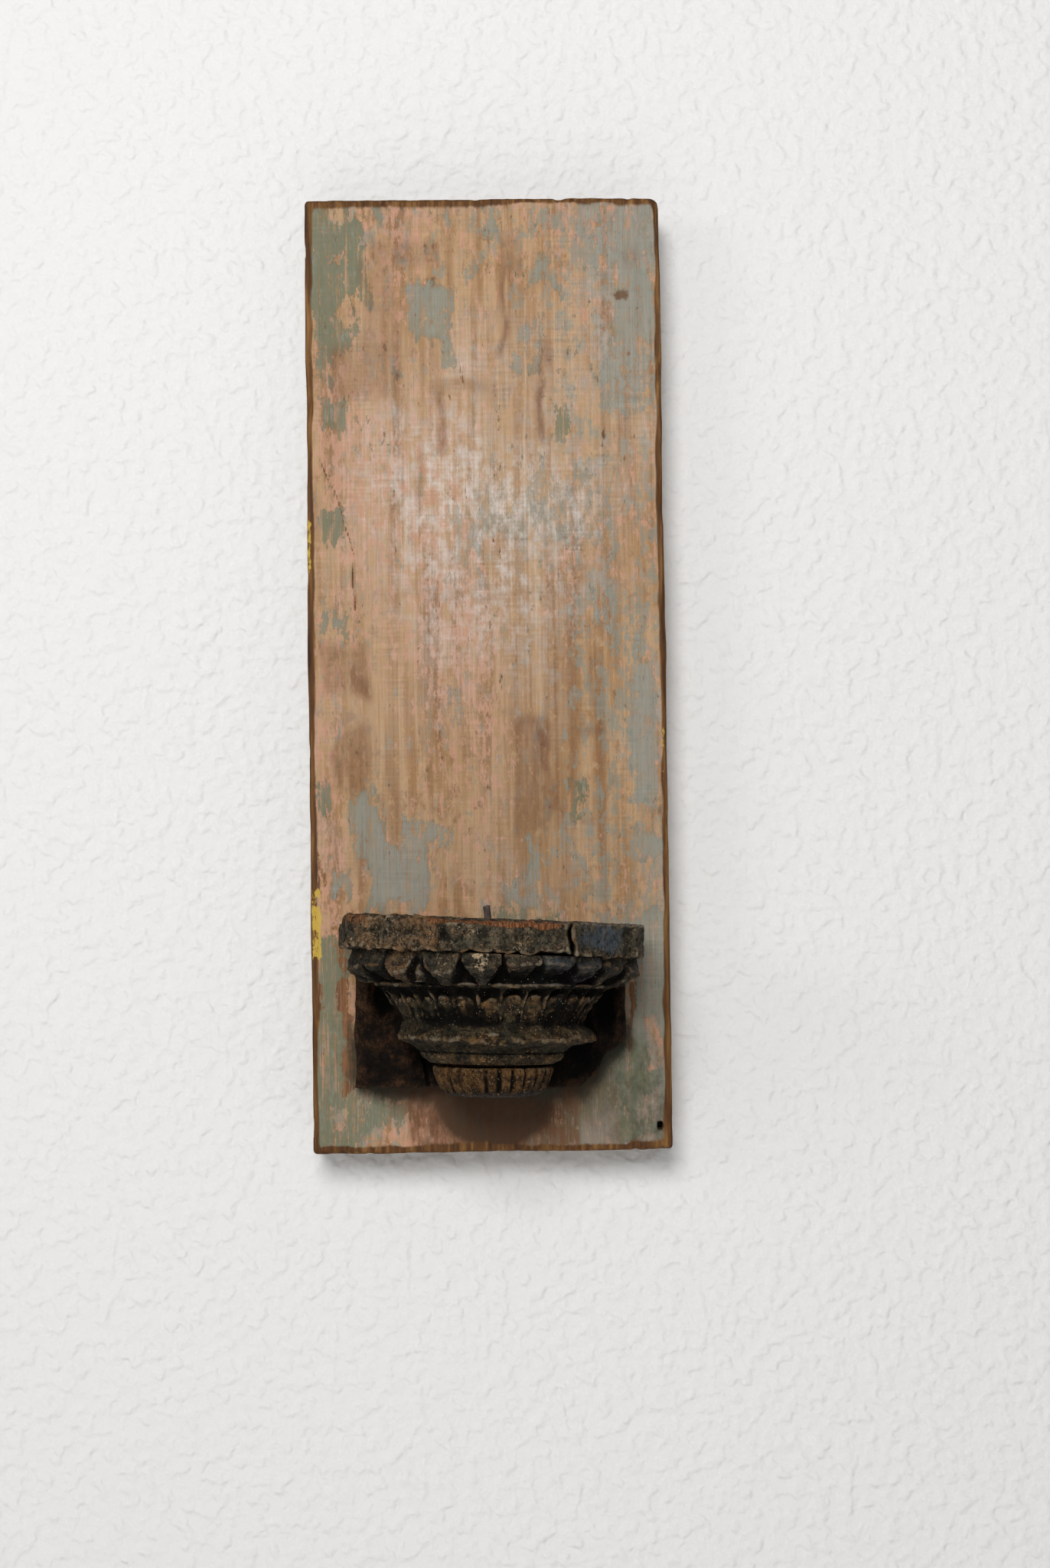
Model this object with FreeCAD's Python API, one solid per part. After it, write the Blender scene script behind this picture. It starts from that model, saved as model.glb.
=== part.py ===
"""Wall-hung candle holder: an old painted plank that carries a half-round carved capital and a nail spike.

Frame: +Z up, +X to the right for someone who faces the front, front towards -Y, wall at y = 0.
The origin is where the axis of the wall screw, which the hanger ring hangs on, meets the wall.
All lengths are millimetres.
"""
import FreeCAD, Part
import math
import os

from FreeCAD import Placement, Rotation, Vector

# ---------------------------------------------------------------- driving dimensions
WALL_GAP = 5.0                  # the bumpers hold the plank this far off the wall
BOARD_WIDTH = 160.0
BOARD_HEIGHT = 428.0
BOARD_THICKNESS = 24.0
BOARD_TOP_Z = 60.0              # the plank's top edge above the wall screw
BOARD_CORNER_RADII = (2.0, 4.0, 1.5, 1.7)   # top left, top right, bottom right, bottom left
BOARD_EDGE_ROUND = 1.2
OLD_NAIL_HOLE = (74.5, -357.5)  # x, z of the open nail hole
OLD_NAIL_HOLE_RADIUS = 1.7
OLD_NAIL_HOLE_DEPTH = 14.0

BLOCK_WIDTH = 118.0
BLOCK_TOP_Z = -272.0
BLOCK_BOTTOM_Z = -338.5
BLOCK_THICKNESS = 14.0
BLOCK_ROLL = 0.8                # degrees, right side down
BLOCK_BREAK = (20.0, 21.0)      # width and height of the corner broken off at the lower right

AXIS_X = 1.4                    # the capital's upright axis, from the plank's centre line
AXIS_FROM_BLOCK = 21.0          # the axis stands this far in front of the block
SEAT_Z = -278.3                 # where the axis meets the slab's underside
SLAB_ROLL, SLAB_PITCH = 2.9, 1.75          # degrees: right side down, front up
CAPITAL_ROLL, CAPITAL_PITCH = 1.5, 2.4
DROP_ROLL, DROP_PITCH = 1.0, 2.2

SLAB_THICKNESS = 14.0
SLAB_HALF_WIDTH = 64.6
SLAB_FRONT = 62.5               # from the axis to the front facet
SLAB_FACET = (-28.0, 31.0)      # the front facet's two ends
SLAB_SHOULDER = (59.0, 33.0)    # where the side facets turn into the straight sides
SLAB_CORNER_ROUND = 3.0
SLAB_STEP = 1.6                 # the left third stands this far proud of the front facet
CRACK_X, CRACK_WIDTH, CRACK_DEPTH = 31.5, 0.7, 16.0

PETAL_COUNT = 11
PETAL_PITCH = 17.2              # degrees
PETAL_PHASE = -4.0              # the middle petal's angle from straight ahead
PETAL_HEIGHT = 12.7
BAND_RADIUS = 55.0              # the plain band behind the petals
BELL_TOP = (48.7, -13.8)        # radius, height
BELL_WAIST = (37.7, -29.9)
BELL_HOLLOW = 1.1               # how far the bell is hollow against its straight chord
BELL_FLUTE_PITCH = 12.8         # degrees
BELL_FLUTE_RADIUS = 3.4
BELL_FLUTE_OUT = 1.9            # how far a flute's centre line stands outside the bell
LIP_RADIUS, LIP_TOP_Z, LIP_BOTTOM_Z = 43.0, -35.5, -37.2
NECK_RADIUS, NECK_BOTTOM_Z = 29.9, -47.0

DROP_GAP = 1.2                  # the dark joint between neck and drop
DROP_RADIUS, DROP_FOOT_RADIUS = 25.8, 18.5
DROP_BOTTOM_Z = -61.0
DROP_FLUTES = 26
DROP_FLUTE_RADIUS = 1.7
DROP_TENON_RADIUS, DROP_TENON_LENGTH = 9.0, 14.0
FIT_GAP = 0.1                   # between a fastener or tenon and its hole
WORN_GAP = 0.5                  # round the spike where it leaves the slab

SPIKE_RADIUS, SPIKE_PROUD, SPIKE_DEPTH = 1.5, 5.9, 16.0
SPIKE_POINT = 5.0               # length of the nail's hidden point
SPIKE_TOP_BEVEL = 0.3           # the rubbed edge of the nipped top
SPIKE_NECK, SPIKE_TAPER_RADIUS = 0.5, 0.9   # the nail tapers from just above the slab down to this radius
SPIKE_X, SPIKE_Y, SPIKE_LEAN = -2.9, -11.0, 5.0     # on the slab, and degrees to the left
SLAB_NAIL_RADIUS, SLAB_NAIL_DEPTH = 1.5, 12.0
SLAB_NAIL_HEAD = (3.5, 1.2)     # radius, height
SLAB_NAIL_PLACES = {"slab_nail_left": (-38.0, -8.0), "slab_nail_right": (40.0, -6.0)}

SCREW_RADIUS, SCREW_LENGTH = 2.3, 68.0
SCREW_HEAD_RADIUS, SCREW_HEAD_HEIGHT, SCREW_TIP = 4.6, 2.6, 7.0
BRACKET_SCREWS = {
    "bracket_screw_left": (-27.0, -296.0),
    "bracket_screw_right": (30.0, -297.5),
    "bracket_screw_lower": (1.5, -306.0),
}

RING_WIRE = 1.2                 # radius of the ring's wire
RING_HALF_WIDTH = 11.0
RING_CORNER = 3.0
RING_STRAIGHT = 2.0
WALL_SCREW_RADIUS = 2.0
STRAP_THICKNESS, STRAP_WIDTH, STRAP_LENGTH = 1.0, 11.0, 36.0
EYE_CLEARANCE = 0.08
HANGER_SCREW_RADIUS, HANGER_SCREW_LENGTH = 1.5, 14.0
HANGER_HEAD_RADIUS, HANGER_HEAD_HEIGHT = 3.0, 1.6
HANGER_SCREW_DROPS = {"hanger_screw_upper": 11.0, "hanger_screw_lower": 27.0}

BUMPER_RADIUS, BUMPER_ROUND = 6.0, 0.6
BUMPER_X, BUMPER_Z = 66.0, -354.0

# ---------------------------------------------------------------- places worked out from them
BOARD_BACK_Y = -WALL_GAP
BOARD_FRONT_Y = BOARD_BACK_Y - BOARD_THICKNESS
BOARD_BOTTOM_Z = BOARD_TOP_Z - BOARD_HEIGHT
BLOCK_FRONT_Y = BOARD_FRONT_Y - BLOCK_THICKNESS
AXIS_Y = BLOCK_FRONT_Y - AXIS_FROM_BLOCK
SEAT = Vector(AXIS_X, AXIS_Y, SEAT_Z)
EYE_Y = BOARD_BACK_Y + STRAP_THICKNESS + EYE_CLEARANCE + RING_WIRE
EYE_INNER = RING_WIRE + EYE_CLEARANCE
RING_REACH = RING_CORNER + RING_STRAIGHT + RING_HALF_WIDTH   # from the ring's hinge line to its crown
EYE_Z = WALL_SCREW_RADIUS - RING_REACH + RING_WIRE

X, Y, Z = Vector(1, 0, 0), Vector(0, 1, 0), Vector(0, 0, 1)
FAR = 200.0                     # longer than anything that is cut with it


def tilted(shape, roll, pitch):
    """Puts a shape made round the seat point in place, its right side down and its front up."""
    turn = Rotation(Y, roll).multiply(Rotation(X, -pitch))
    placed = shape.copy()
    placed.Placement = Placement(SEAT, turn).multiply(placed.Placement)
    return placed


def polygon_face(points):
    return Part.Face(Part.makePolygon(points + [points[0]]))


def in_front_of_block(shape):
    """Cuts away what reaches back past the block's front face."""
    corner = Vector(-FAR, BLOCK_FRONT_Y, SEAT_Z - FAR)
    return shape.cut(Part.makeBox(2 * FAR, FAR, 2 * FAR, corner))


def everything_above(z):
    """A large block whose underside lies at z."""
    return Part.makeBox(2 * FAR, 2 * FAR, FAR, Vector(-FAR, -FAR, z))


def below_slab(shape):
    """Cuts away what reaches up past the slab's underside."""
    return shape.cut(tilted(everything_above(0), SLAB_ROLL, SLAB_PITCH))


def bar(start, end, radius):
    """A round bar between two points."""
    along = end.sub(start)
    return Part.makeCylinder(radius, along.Length, start, along)


def turned_solid(points_and_curves):
    """Revolves a profile of radius and height edges, closed along the axis, all the way round."""
    return Part.Face(Part.Wire(points_and_curves)).revolve(Vector(0, 0, 0), Z, 360)


# ---------------------------------------------------------------- fasteners
def wood_screw(x, z, grow=0.0):
    """A countersunk screw driven from the plank's back; grow gives its hole."""
    head_face = Vector(x, BOARD_BACK_Y, z)
    forward = Vector(0, -1, 0)
    under_head = head_face + forward * SCREW_HEAD_HEIGHT
    shank_end = head_face + forward * (SCREW_LENGTH - SCREW_TIP)
    radius = SCREW_RADIUS + grow
    head = Part.makeCone(SCREW_HEAD_RADIUS + grow, radius, SCREW_HEAD_HEIGHT, head_face, forward)
    shank = bar(under_head, shank_end, radius)
    tip = Part.makeCone(radius, 0.4, SCREW_TIP + grow, shank_end, forward)
    return head.fuse([shank, tip]).removeSplitter()


def slab_nail(x, y, grow=0.0):
    """A cut nail, its head sunk level with the slab's top."""
    top = Vector(x, y, SLAB_THICKNESS)
    head_radius, head_height = SLAB_NAIL_HEAD
    head = Part.makeCylinder(head_radius + grow, head_height + grow, top, -Z)
    shank = Part.makeCylinder(SLAB_NAIL_RADIUS + grow, SLAB_THICKNESS + SLAB_NAIL_DEPTH + grow, top, -Z)
    return tilted(head.fuse(shank).removeSplitter(), SLAB_ROLL, SLAB_PITCH)


def spike_axis():
    lean = math.radians(SPIKE_LEAN + SLAB_ROLL)
    return Vector(-math.sin(lean), 0, math.cos(lean))


def candle_spike(grow=0.0):
    """A tapered nail with its head nipped off, driven through the slab into the capital."""
    up = spike_axis()
    at_slab = Vector(SPIKE_X, SPIKE_Y, SLAB_THICKNESS)
    neck = at_slab + up * SPIKE_NECK
    taper = SLAB_THICKNESS + SPIKE_DEPTH + SPIKE_NECK
    straight = SPIKE_PROUD - SPIKE_NECK - SPIKE_TOP_BEVEL
    proud = Part.makeCylinder(SPIKE_RADIUS + grow, straight, neck, up)
    bevelled = SPIKE_RADIUS + grow - SPIKE_TOP_BEVEL
    top = Part.makeCone(SPIKE_RADIUS + grow, bevelled, SPIKE_TOP_BEVEL, neck + up * straight, up)
    shank = Part.makeCone(SPIKE_RADIUS + grow, SPIKE_TAPER_RADIUS + grow, taper, neck, -up)
    point = Part.makeCone(SPIKE_TAPER_RADIUS + grow, 0.2, SPIKE_POINT, neck - up * taper, -up)
    return tilted(proud.fuse([top, shank, point]).removeSplitter(), SLAB_ROLL, SLAB_PITCH)


# ---------------------------------------------------------------- plank and block
def rounded_outline(width, top, bottom, radii, y):
    """A wire in the plane y with four corner arcs: top left, top right, bottom right, bottom left."""
    half = width / 2.0
    corners = [(-half, top), (half, top), (half, bottom), (-half, bottom)]
    signs = [(1, -1), (-1, -1), (-1, 1), (1, 1)]
    edges, ends = [], []
    for (cx, cz), (sx, sz), r in zip(corners, signs, radii):
        along_z = Vector(cx, y, cz + sz * r)
        along_x = Vector(cx + sx * r, y, cz)
        middle = Vector(cx + sx * r * (1 - math.sqrt(0.5)), y, cz + sz * r * (1 - math.sqrt(0.5)))
        first, last = (along_z, along_x) if sx == -sz else (along_x, along_z)
        edges.append(Part.Arc(first, middle, last).toShape())
        ends.append((first, last))
    sides = [Part.makeLine(ends[i][1], ends[(i + 1) % 4][0]) for i in range(4)]
    return Part.Wire(Part.__sortEdges__(edges + sides))


def make_backboard():
    outline = rounded_outline(BOARD_WIDTH, BOARD_TOP_Z, BOARD_BOTTOM_Z, BOARD_CORNER_RADII, BOARD_BACK_Y)
    plank = Part.Face(outline).extrude(Vector(0, -BOARD_THICKNESS, 0))
    rims = [e for e in plank.Edges if e.BoundBox.YLength < 0.01]
    plank = plank.makeFillet(BOARD_EDGE_ROUND, rims)
    x, z = OLD_NAIL_HOLE
    holes = [Part.makeCylinder(OLD_NAIL_HOLE_RADIUS, OLD_NAIL_HOLE_DEPTH, Vector(x, BOARD_FRONT_Y, z), Y)]
    holes += [wood_screw(sx, sz, FIT_GAP) for sx, sz in BRACKET_SCREWS.values()]
    holes += [hanger_screw(drop, FIT_GAP) for drop in HANGER_SCREW_DROPS.values()]
    return plank.cut(holes)


def make_back_block():
    half = BLOCK_WIDTH / 2.0
    break_width, break_height = BLOCK_BREAK
    outline = [
        Vector(-half, BOARD_FRONT_Y, BLOCK_TOP_Z),
        Vector(half, BOARD_FRONT_Y, BLOCK_TOP_Z),
        Vector(half, BOARD_FRONT_Y, BLOCK_BOTTOM_Z + break_height),
        Vector(half - break_width, BOARD_FRONT_Y, BLOCK_BOTTOM_Z),
        Vector(-half, BOARD_FRONT_Y, BLOCK_BOTTOM_Z),
    ]
    block = polygon_face(outline).extrude(Vector(0, -BLOCK_THICKNESS, 0))
    block.rotate(Vector(0, 0, (BLOCK_TOP_Z + BLOCK_BOTTOM_Z) / 2.0), Y, BLOCK_ROLL)
    return block.cut([wood_screw(x, z, FIT_GAP) for x, z in BRACKET_SCREWS.values()])


# ---------------------------------------------------------------- slab
def make_abacus_slab():
    shoulder_x, shoulder_y = SLAB_SHOULDER
    facet_left, facet_right = SLAB_FACET
    back = AXIS_FROM_BLOCK + 5.0
    outline = [
        Vector(facet_left, -SLAB_FRONT, 0),
        Vector(facet_right, -SLAB_FRONT, 0),
        Vector(shoulder_x, -shoulder_y, 0),
        Vector(SLAB_HALF_WIDTH, -2.0, 0),
        Vector(SLAB_HALF_WIDTH, back, 0),
        Vector(-SLAB_HALF_WIDTH, back, 0),
        Vector(-SLAB_HALF_WIDTH, -2.0, 0),
        Vector(-shoulder_x, -shoulder_y - SLAB_STEP, 0),
        Vector(facet_left, -SLAB_FRONT - SLAB_STEP, 0),
    ]
    slab = polygon_face(outline).extrude(Vector(0, 0, SLAB_THICKNESS))
    corners = [e for e in slab.Edges if e.BoundBox.ZLength > 1 and e.CenterOfMass.y < 0
               and abs(e.CenterOfMass.x - facet_left) > 1]
    slab = slab.makeFillet(SLAB_CORNER_ROUND, corners)
    crack_start = Vector(CRACK_X - CRACK_WIDTH / 2.0, -SLAB_FRONT - 5.0, -1.0)
    crack = Part.makeBox(CRACK_WIDTH, CRACK_DEPTH + 5.0, SLAB_THICKNESS + 2.0, crack_start)
    slab = in_front_of_block(tilted(slab.cut(crack), SLAB_ROLL, SLAB_PITCH))
    nail_holes = [slab_nail(x, y, FIT_GAP) for x, y in SLAB_NAIL_PLACES.values()]
    return slab.cut(nail_holes + [candle_spike(WORN_GAP)])


# ---------------------------------------------------------------- capital
def capital_profile():
    """Edges of the half profile, from the axis at the top round to the axis at the bottom."""
    def at(radius, z):
        return Vector(radius, 0, z)

    top_z = 6.0
    middle_radius = (BELL_TOP[0] + BELL_WAIST[0]) / 2.0 - BELL_HOLLOW
    middle_z = (BELL_TOP[1] + BELL_WAIST[1]) / 2.0
    lip_start = at(BELL_WAIST[0] + 0.5, BELL_WAIST[1] - 0.4)
    lip_edge, lip_under = at(LIP_RADIUS, LIP_TOP_Z), at(LIP_RADIUS, LIP_BOTTOM_Z)
    fascia_top, fascia_foot = at(34.5, LIP_BOTTOM_Z - 1.4), at(30.6, -41.4)
    ring_top, ring_foot = at(28.6, -41.6), at(28.2, -45.6)
    neck_foot = at(26.4, NECK_BOTTOM_Z)
    return [
        Part.makeLine(at(0, top_z), at(BAND_RADIUS + 1, top_z)),
        Part.makeLine(at(BAND_RADIUS + 1, top_z), at(BAND_RADIUS, -6)),
        Part.makeLine(at(BAND_RADIUS, -6), at(*BELL_TOP)),
        Part.Arc(at(*BELL_TOP), at(middle_radius, middle_z), at(*BELL_WAIST)).toShape(),
        Part.makeLine(at(*BELL_WAIST), lip_start),
        Part.Arc(lip_start, at(41.4, -32.6), lip_edge).toShape(),
        Part.makeLine(lip_edge, lip_under),
        Part.makeLine(lip_under, fascia_top),
        Part.Arc(fascia_top, at(31.6, -39.6), fascia_foot).toShape(),
        Part.makeLine(fascia_foot, ring_top),
        Part.Arc(ring_top, at(NECK_RADIUS, -43.6), ring_foot).toShape(),
        Part.makeLine(ring_foot, neck_foot),
        Part.makeLine(neck_foot, at(0, NECK_BOTTOM_Z)),
        Part.makeLine(at(0, NECK_BOTTOM_Z), at(0, top_z)),
    ]


def half_round(edges, depth):
    """A half-round front with straight sides that run back from it by depth."""
    profile = Part.Face(Part.Wire(edges))
    front = profile.revolve(Vector(0, 0, 0), -Z, 180)
    right = profile.extrude(Vector(0, depth, 0))
    left = right.mirror(Vector(0, 0, 0), X)
    return front.fuse([right, left]).removeSplitter()


def petal():
    """One leaf of the band, for straight ahead: a ridged tongue that narrows to a point below."""
    sections = []
    for z, half_width, side_radius, ridge_radius in (
        (5.0, 6.6, 58.5, 60.5),
        (-2.5, 6.8, 59.5, 62.0),
        (-8.0, 5.6, 59.5, 63.3),
        (-PETAL_HEIGHT, 1.4, 56.5, 58.0),
    ):
        sections.append(Part.makePolygon([
            Vector(-half_width, -BAND_RADIUS + 6, z),
            Vector(-half_width, -side_radius, z),
            Vector(0, -ridge_radius, z),
            Vector(half_width, -side_radius, z),
            Vector(half_width, -BAND_RADIUS + 6, z),
            Vector(-half_width, -BAND_RADIUS + 6, z),
        ]))
    return Part.makeLoft(sections, True, True)


def petal_places():
    """Angle and setback of each petal: round the front, then one on each straight side."""
    step = (PETAL_COUNT - 1) // 2
    angles = [PETAL_PHASE + PETAL_PITCH * k for k in range(-step, step + 1)]
    places = [(angle, 0.0) for angle in angles]
    for side, last in ((-90.0, angles[0]), (90.0, angles[-1])):
        overshoot = abs(last) + PETAL_PITCH - 90.0
        places.append((side, math.radians(overshoot) * BAND_RADIUS))
    return places


def bell_flutes():
    """Bars that cut the grooves between the reeds of the bell."""
    bars = []
    count = int(90.0 / BELL_FLUTE_PITCH)
    spacing = math.radians(BELL_FLUTE_PITCH) * BELL_TOP[0]
    for k in range(-count, count + 1):
        angle = math.radians(k * BELL_FLUTE_PITCH)
        ahead = Vector(math.sin(angle), -math.cos(angle), 0)
        top = ahead * (BELL_TOP[0] + BELL_FLUTE_OUT) + Z * (BELL_TOP[1] + 1.0)
        foot = ahead * (BELL_WAIST[0] + BELL_FLUTE_OUT) + Z * (BELL_WAIST[1] + 2.4)
        bars.append(bar(top, foot, BELL_FLUTE_RADIUS))
    for side in (-1, 1):
        for k in (1, 2):
            top = Vector(side * (BELL_TOP[0] + BELL_FLUTE_OUT), k * spacing, BELL_TOP[1] + 1.0)
            foot = Vector(side * (BELL_WAIST[0] + BELL_FLUTE_OUT), k * spacing, BELL_WAIST[1] + 2.4)
            bars.append(bar(top, foot, BELL_FLUTE_RADIUS))
    return bars


def make_carved_capital():
    body = half_round(capital_profile(), AXIS_FROM_BLOCK + 6.0).cut(bell_flutes())
    petals = []
    for angle, setback in petal_places():
        leaf = petal()
        leaf.rotate(Vector(0, 0, 0), Z, angle)
        leaf.translate(Vector(0, setback, 0))
        petals.append(leaf)
    body = tilted(body.fuse(petals), CAPITAL_ROLL, CAPITAL_PITCH)
    body = in_front_of_block(below_slab(body))
    holes = [wood_screw(x, z, FIT_GAP) for x, z in BRACKET_SCREWS.values()]
    holes += [slab_nail(x, y, FIT_GAP) for x, y in SLAB_NAIL_PLACES.values()]
    holes += [candle_spike(FIT_GAP), drop_tenon(FIT_GAP)]
    return body.cut(holes).removeSplitter()


# ---------------------------------------------------------------- drop
def drop_tenon(grow=0.0):
    foot = Vector(0, 0, NECK_BOTTOM_Z - DROP_GAP)
    length = DROP_TENON_LENGTH + DROP_GAP + grow
    return tilted(Part.makeCylinder(DROP_TENON_RADIUS + grow, length, foot, Z), DROP_ROLL, DROP_PITCH)


def make_fluted_drop():
    def at(radius, z):
        return Vector(radius, 0, z)

    rim_z = NECK_BOTTOM_Z - DROP_GAP
    foot_z = DROP_BOTTOM_Z + 1.6
    profile = [
        Part.makeLine(at(0, rim_z), at(DROP_RADIUS - 1.0, rim_z)),
        Part.makeLine(at(DROP_RADIUS - 1.0, rim_z), at(DROP_RADIUS, rim_z - 1.0)),
        Part.Arc(at(DROP_RADIUS, rim_z - 1.0), at(24.6, -54.0), at(22.6, -58.0)).toShape(),
        Part.Arc(at(22.6, -58.0), at(21.2, foot_z + 0.2), at(DROP_FOOT_RADIUS, foot_z - 0.9)).toShape(),
        Part.makeLine(at(DROP_FOOT_RADIUS, foot_z - 0.9), at(0, DROP_BOTTOM_Z)),
        Part.makeLine(at(0, DROP_BOTTOM_Z), at(0, rim_z)),
    ]
    cup = turned_solid(profile)
    flutes = []
    for k in range(DROP_FLUTES):
        angle = math.radians((k + 0.5) * 360.0 / DROP_FLUTES)
        ahead = Vector(math.sin(angle), -math.cos(angle), 0)
        top = ahead * (DROP_RADIUS + 0.7) + Z * (rim_z + 1.0)
        foot = ahead * (DROP_RADIUS - 2.2) + Z * (foot_z + 0.6)
        flutes.append(bar(top, foot, DROP_FLUTE_RADIUS))
    shoulder = Part.makeCylinder(21.0, DROP_GAP + 2.0, Vector(0, 0, rim_z), Z)
    cup = tilted(cup.cut(flutes).fuse(shoulder), DROP_ROLL, DROP_PITCH)
    cup = cup.cut(tilted(everything_above(NECK_BOTTOM_Z), CAPITAL_ROLL, CAPITAL_PITCH))
    return in_front_of_block(cup.fuse(drop_tenon())).removeSplitter()


# ---------------------------------------------------------------- hanger
def hanger_screw(drop, grow=0.0):
    """A pan-head screw through the strap, drop below the eye."""
    strap_face = Vector(0, BOARD_BACK_Y + STRAP_THICKNESS, EYE_Z - drop)
    shank = Part.makeCylinder(HANGER_SCREW_RADIUS + grow, HANGER_SCREW_LENGTH + grow, strap_face, -Y)
    head = Part.makeCylinder(HANGER_HEAD_RADIUS, HANGER_HEAD_HEIGHT, strap_face, Y)
    outer = [e for e in head.Edges if e.BoundBox.YLength < 0.01 and e.CenterOfMass.y > strap_face.y + 0.1]
    return head.makeFillet(1.0, outer).fuse(shank).removeSplitter()


def make_hanger_strap():
    plate_front = Vector(-STRAP_WIDTH / 2.0, BOARD_BACK_Y, EYE_Z - STRAP_LENGTH)
    plate = Part.makeBox(STRAP_WIDTH, STRAP_THICKNESS, STRAP_LENGTH, plate_front)
    lower_corners = [e for e in plate.Edges if e.BoundBox.YLength > 0.5 and e.CenterOfMass.z < EYE_Z - 20]
    plate = plate.makeFillet(3.0, lower_corners)
    eye_start = Vector(-STRAP_WIDTH / 2.0, EYE_Y, EYE_Z)
    eye = Part.makeCylinder(EYE_INNER + STRAP_THICKNESS, STRAP_WIDTH, eye_start, X)
    strap = plate.fuse(eye).cut(Part.makeCylinder(EYE_INNER, STRAP_WIDTH, eye_start, X))
    return strap.cut([hanger_screw(drop, 0.05) for drop in HANGER_SCREW_DROPS.values()]).removeSplitter()


def make_hanger_ring():
    """A closed D of round wire: a straight hinge bar, two corners, two short sides and a half-round crown."""
    def at(x, z):
        return Vector(x, EYE_Y, EYE_Z + z)

    inner = RING_HALF_WIDTH - RING_CORNER
    side_top = RING_CORNER + RING_STRAIGHT
    hinge_bar = bar(at(-inner, 0), at(inner, 0), RING_WIRE)
    pieces = []
    for side in (-1, 1):
        outer = side * RING_HALF_WIDTH
        knee = Part.makeTorus(RING_CORNER, RING_WIRE, at(side * inner, RING_CORNER), Y)
        quarter_left = inner if side > 0 else -inner - FAR
        quarter = Part.makeBox(FAR, FAR, FAR, at(quarter_left, RING_CORNER - FAR) - Y * FAR / 2)
        pieces.append(knee.common(quarter))
        pieces.append(bar(at(outer, RING_CORNER), at(outer, side_top), RING_WIRE))
    crown = Part.makeTorus(RING_HALF_WIDTH, RING_WIRE, at(0, side_top), Y)
    upper_half = Part.makeBox(2 * FAR, FAR, FAR, at(-FAR, side_top) - Y * FAR / 2)
    pieces.append(crown.common(upper_half))
    return hinge_bar.fuse(pieces).removeSplitter()


def make_bumper(side):
    pad = Part.makeCylinder(BUMPER_RADIUS, WALL_GAP, Vector(side * BUMPER_X, BOARD_BACK_Y, BUMPER_Z), Y)
    wall_rim = [e for e in pad.Edges if e.CenterOfMass.y > -0.1 and e.BoundBox.YLength < 0.01]
    return pad.makeFillet(BUMPER_ROUND, wall_rim)


def main():
    pieces = {
        "backboard": make_backboard(),
        "back_block": make_back_block(),
        "carved_capital": make_carved_capital(),
        "fluted_drop": make_fluted_drop(),
        "abacus_slab": make_abacus_slab(),
        "candle_spike": candle_spike(),
        "hanger_strap": make_hanger_strap(),
        "hanger_ring": make_hanger_ring(),
        "bumper_left": make_bumper(-1),
        "bumper_right": make_bumper(1),
    }
    for name, (x, y) in SLAB_NAIL_PLACES.items():
        pieces[name] = slab_nail(x, y)
    for name, (x, z) in BRACKET_SCREWS.items():
        pieces[name] = wood_screw(x, z)
    for name, drop in HANGER_SCREW_DROPS.items():
        pieces[name] = hanger_screw(drop)

    os.makedirs("parts", exist_ok=True)
    for name, shape in pieces.items():
        shape.exportStep(os.path.join("parts", name + ".step"))
        box = shape.BoundBox
        size = f"{box.XLength:.1f} x {box.YLength:.1f} x {box.ZLength:.1f} mm"
        print(f"{name}: {len(shape.Solids)} solid, valid {shape.isValid()}, {shape.Volume / 1000:.2f} cm3, {size}")


main()
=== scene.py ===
"""Looks of the wall-hung candle holder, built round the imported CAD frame.

Every piece is modelled as a field of distances on a grid, in millimetres, negative inside the piece: its
plain shape first, then worn corners, chips, pits and grain. The surface is drawn from that field. Each vertex
keeps a few numbers, such as how exposed it is and which paint it carries, and the materials read them.
"""

import math

import bpy
import numpy as np
from mathutils import Matrix, Vector


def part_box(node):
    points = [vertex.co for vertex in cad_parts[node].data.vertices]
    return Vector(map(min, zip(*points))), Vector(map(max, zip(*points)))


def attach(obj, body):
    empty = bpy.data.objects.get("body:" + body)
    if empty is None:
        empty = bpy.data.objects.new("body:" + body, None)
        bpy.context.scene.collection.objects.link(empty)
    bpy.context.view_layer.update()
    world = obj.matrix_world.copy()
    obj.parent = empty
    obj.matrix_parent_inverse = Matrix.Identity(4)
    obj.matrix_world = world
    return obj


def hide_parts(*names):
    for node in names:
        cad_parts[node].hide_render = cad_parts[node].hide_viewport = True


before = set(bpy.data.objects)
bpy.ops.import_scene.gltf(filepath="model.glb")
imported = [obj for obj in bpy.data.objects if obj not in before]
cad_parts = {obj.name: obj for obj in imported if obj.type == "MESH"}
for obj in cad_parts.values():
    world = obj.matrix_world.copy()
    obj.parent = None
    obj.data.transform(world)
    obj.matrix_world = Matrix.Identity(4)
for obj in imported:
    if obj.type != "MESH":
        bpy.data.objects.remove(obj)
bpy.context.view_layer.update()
MM = 0.001


# ---------------------------------------------------------------- distance fields
def spline_weights(coords, cell):
    """Rows of cubic B-spline weights that spread a coarse lattice over the coordinates."""
    if cell is None:
        return np.ones((1, 1), np.float32)
    t = (coords - coords[0]) / cell
    base = np.floor(t).astype(int)
    f = t - base
    weights = np.zeros((len(coords), base[-1] + 4), np.float32)
    rows = np.arange(len(coords))
    weights[rows, base] = (1 - f) ** 3 / 6
    weights[rows, base + 1] = (3 * f ** 3 - 6 * f ** 2 + 4) / 6
    weights[rows, base + 2] = (-3 * f ** 3 + 3 * f ** 2 + 3 * f + 1) / 6
    weights[rows, base + 3] = f ** 3 / 6
    return weights


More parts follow.
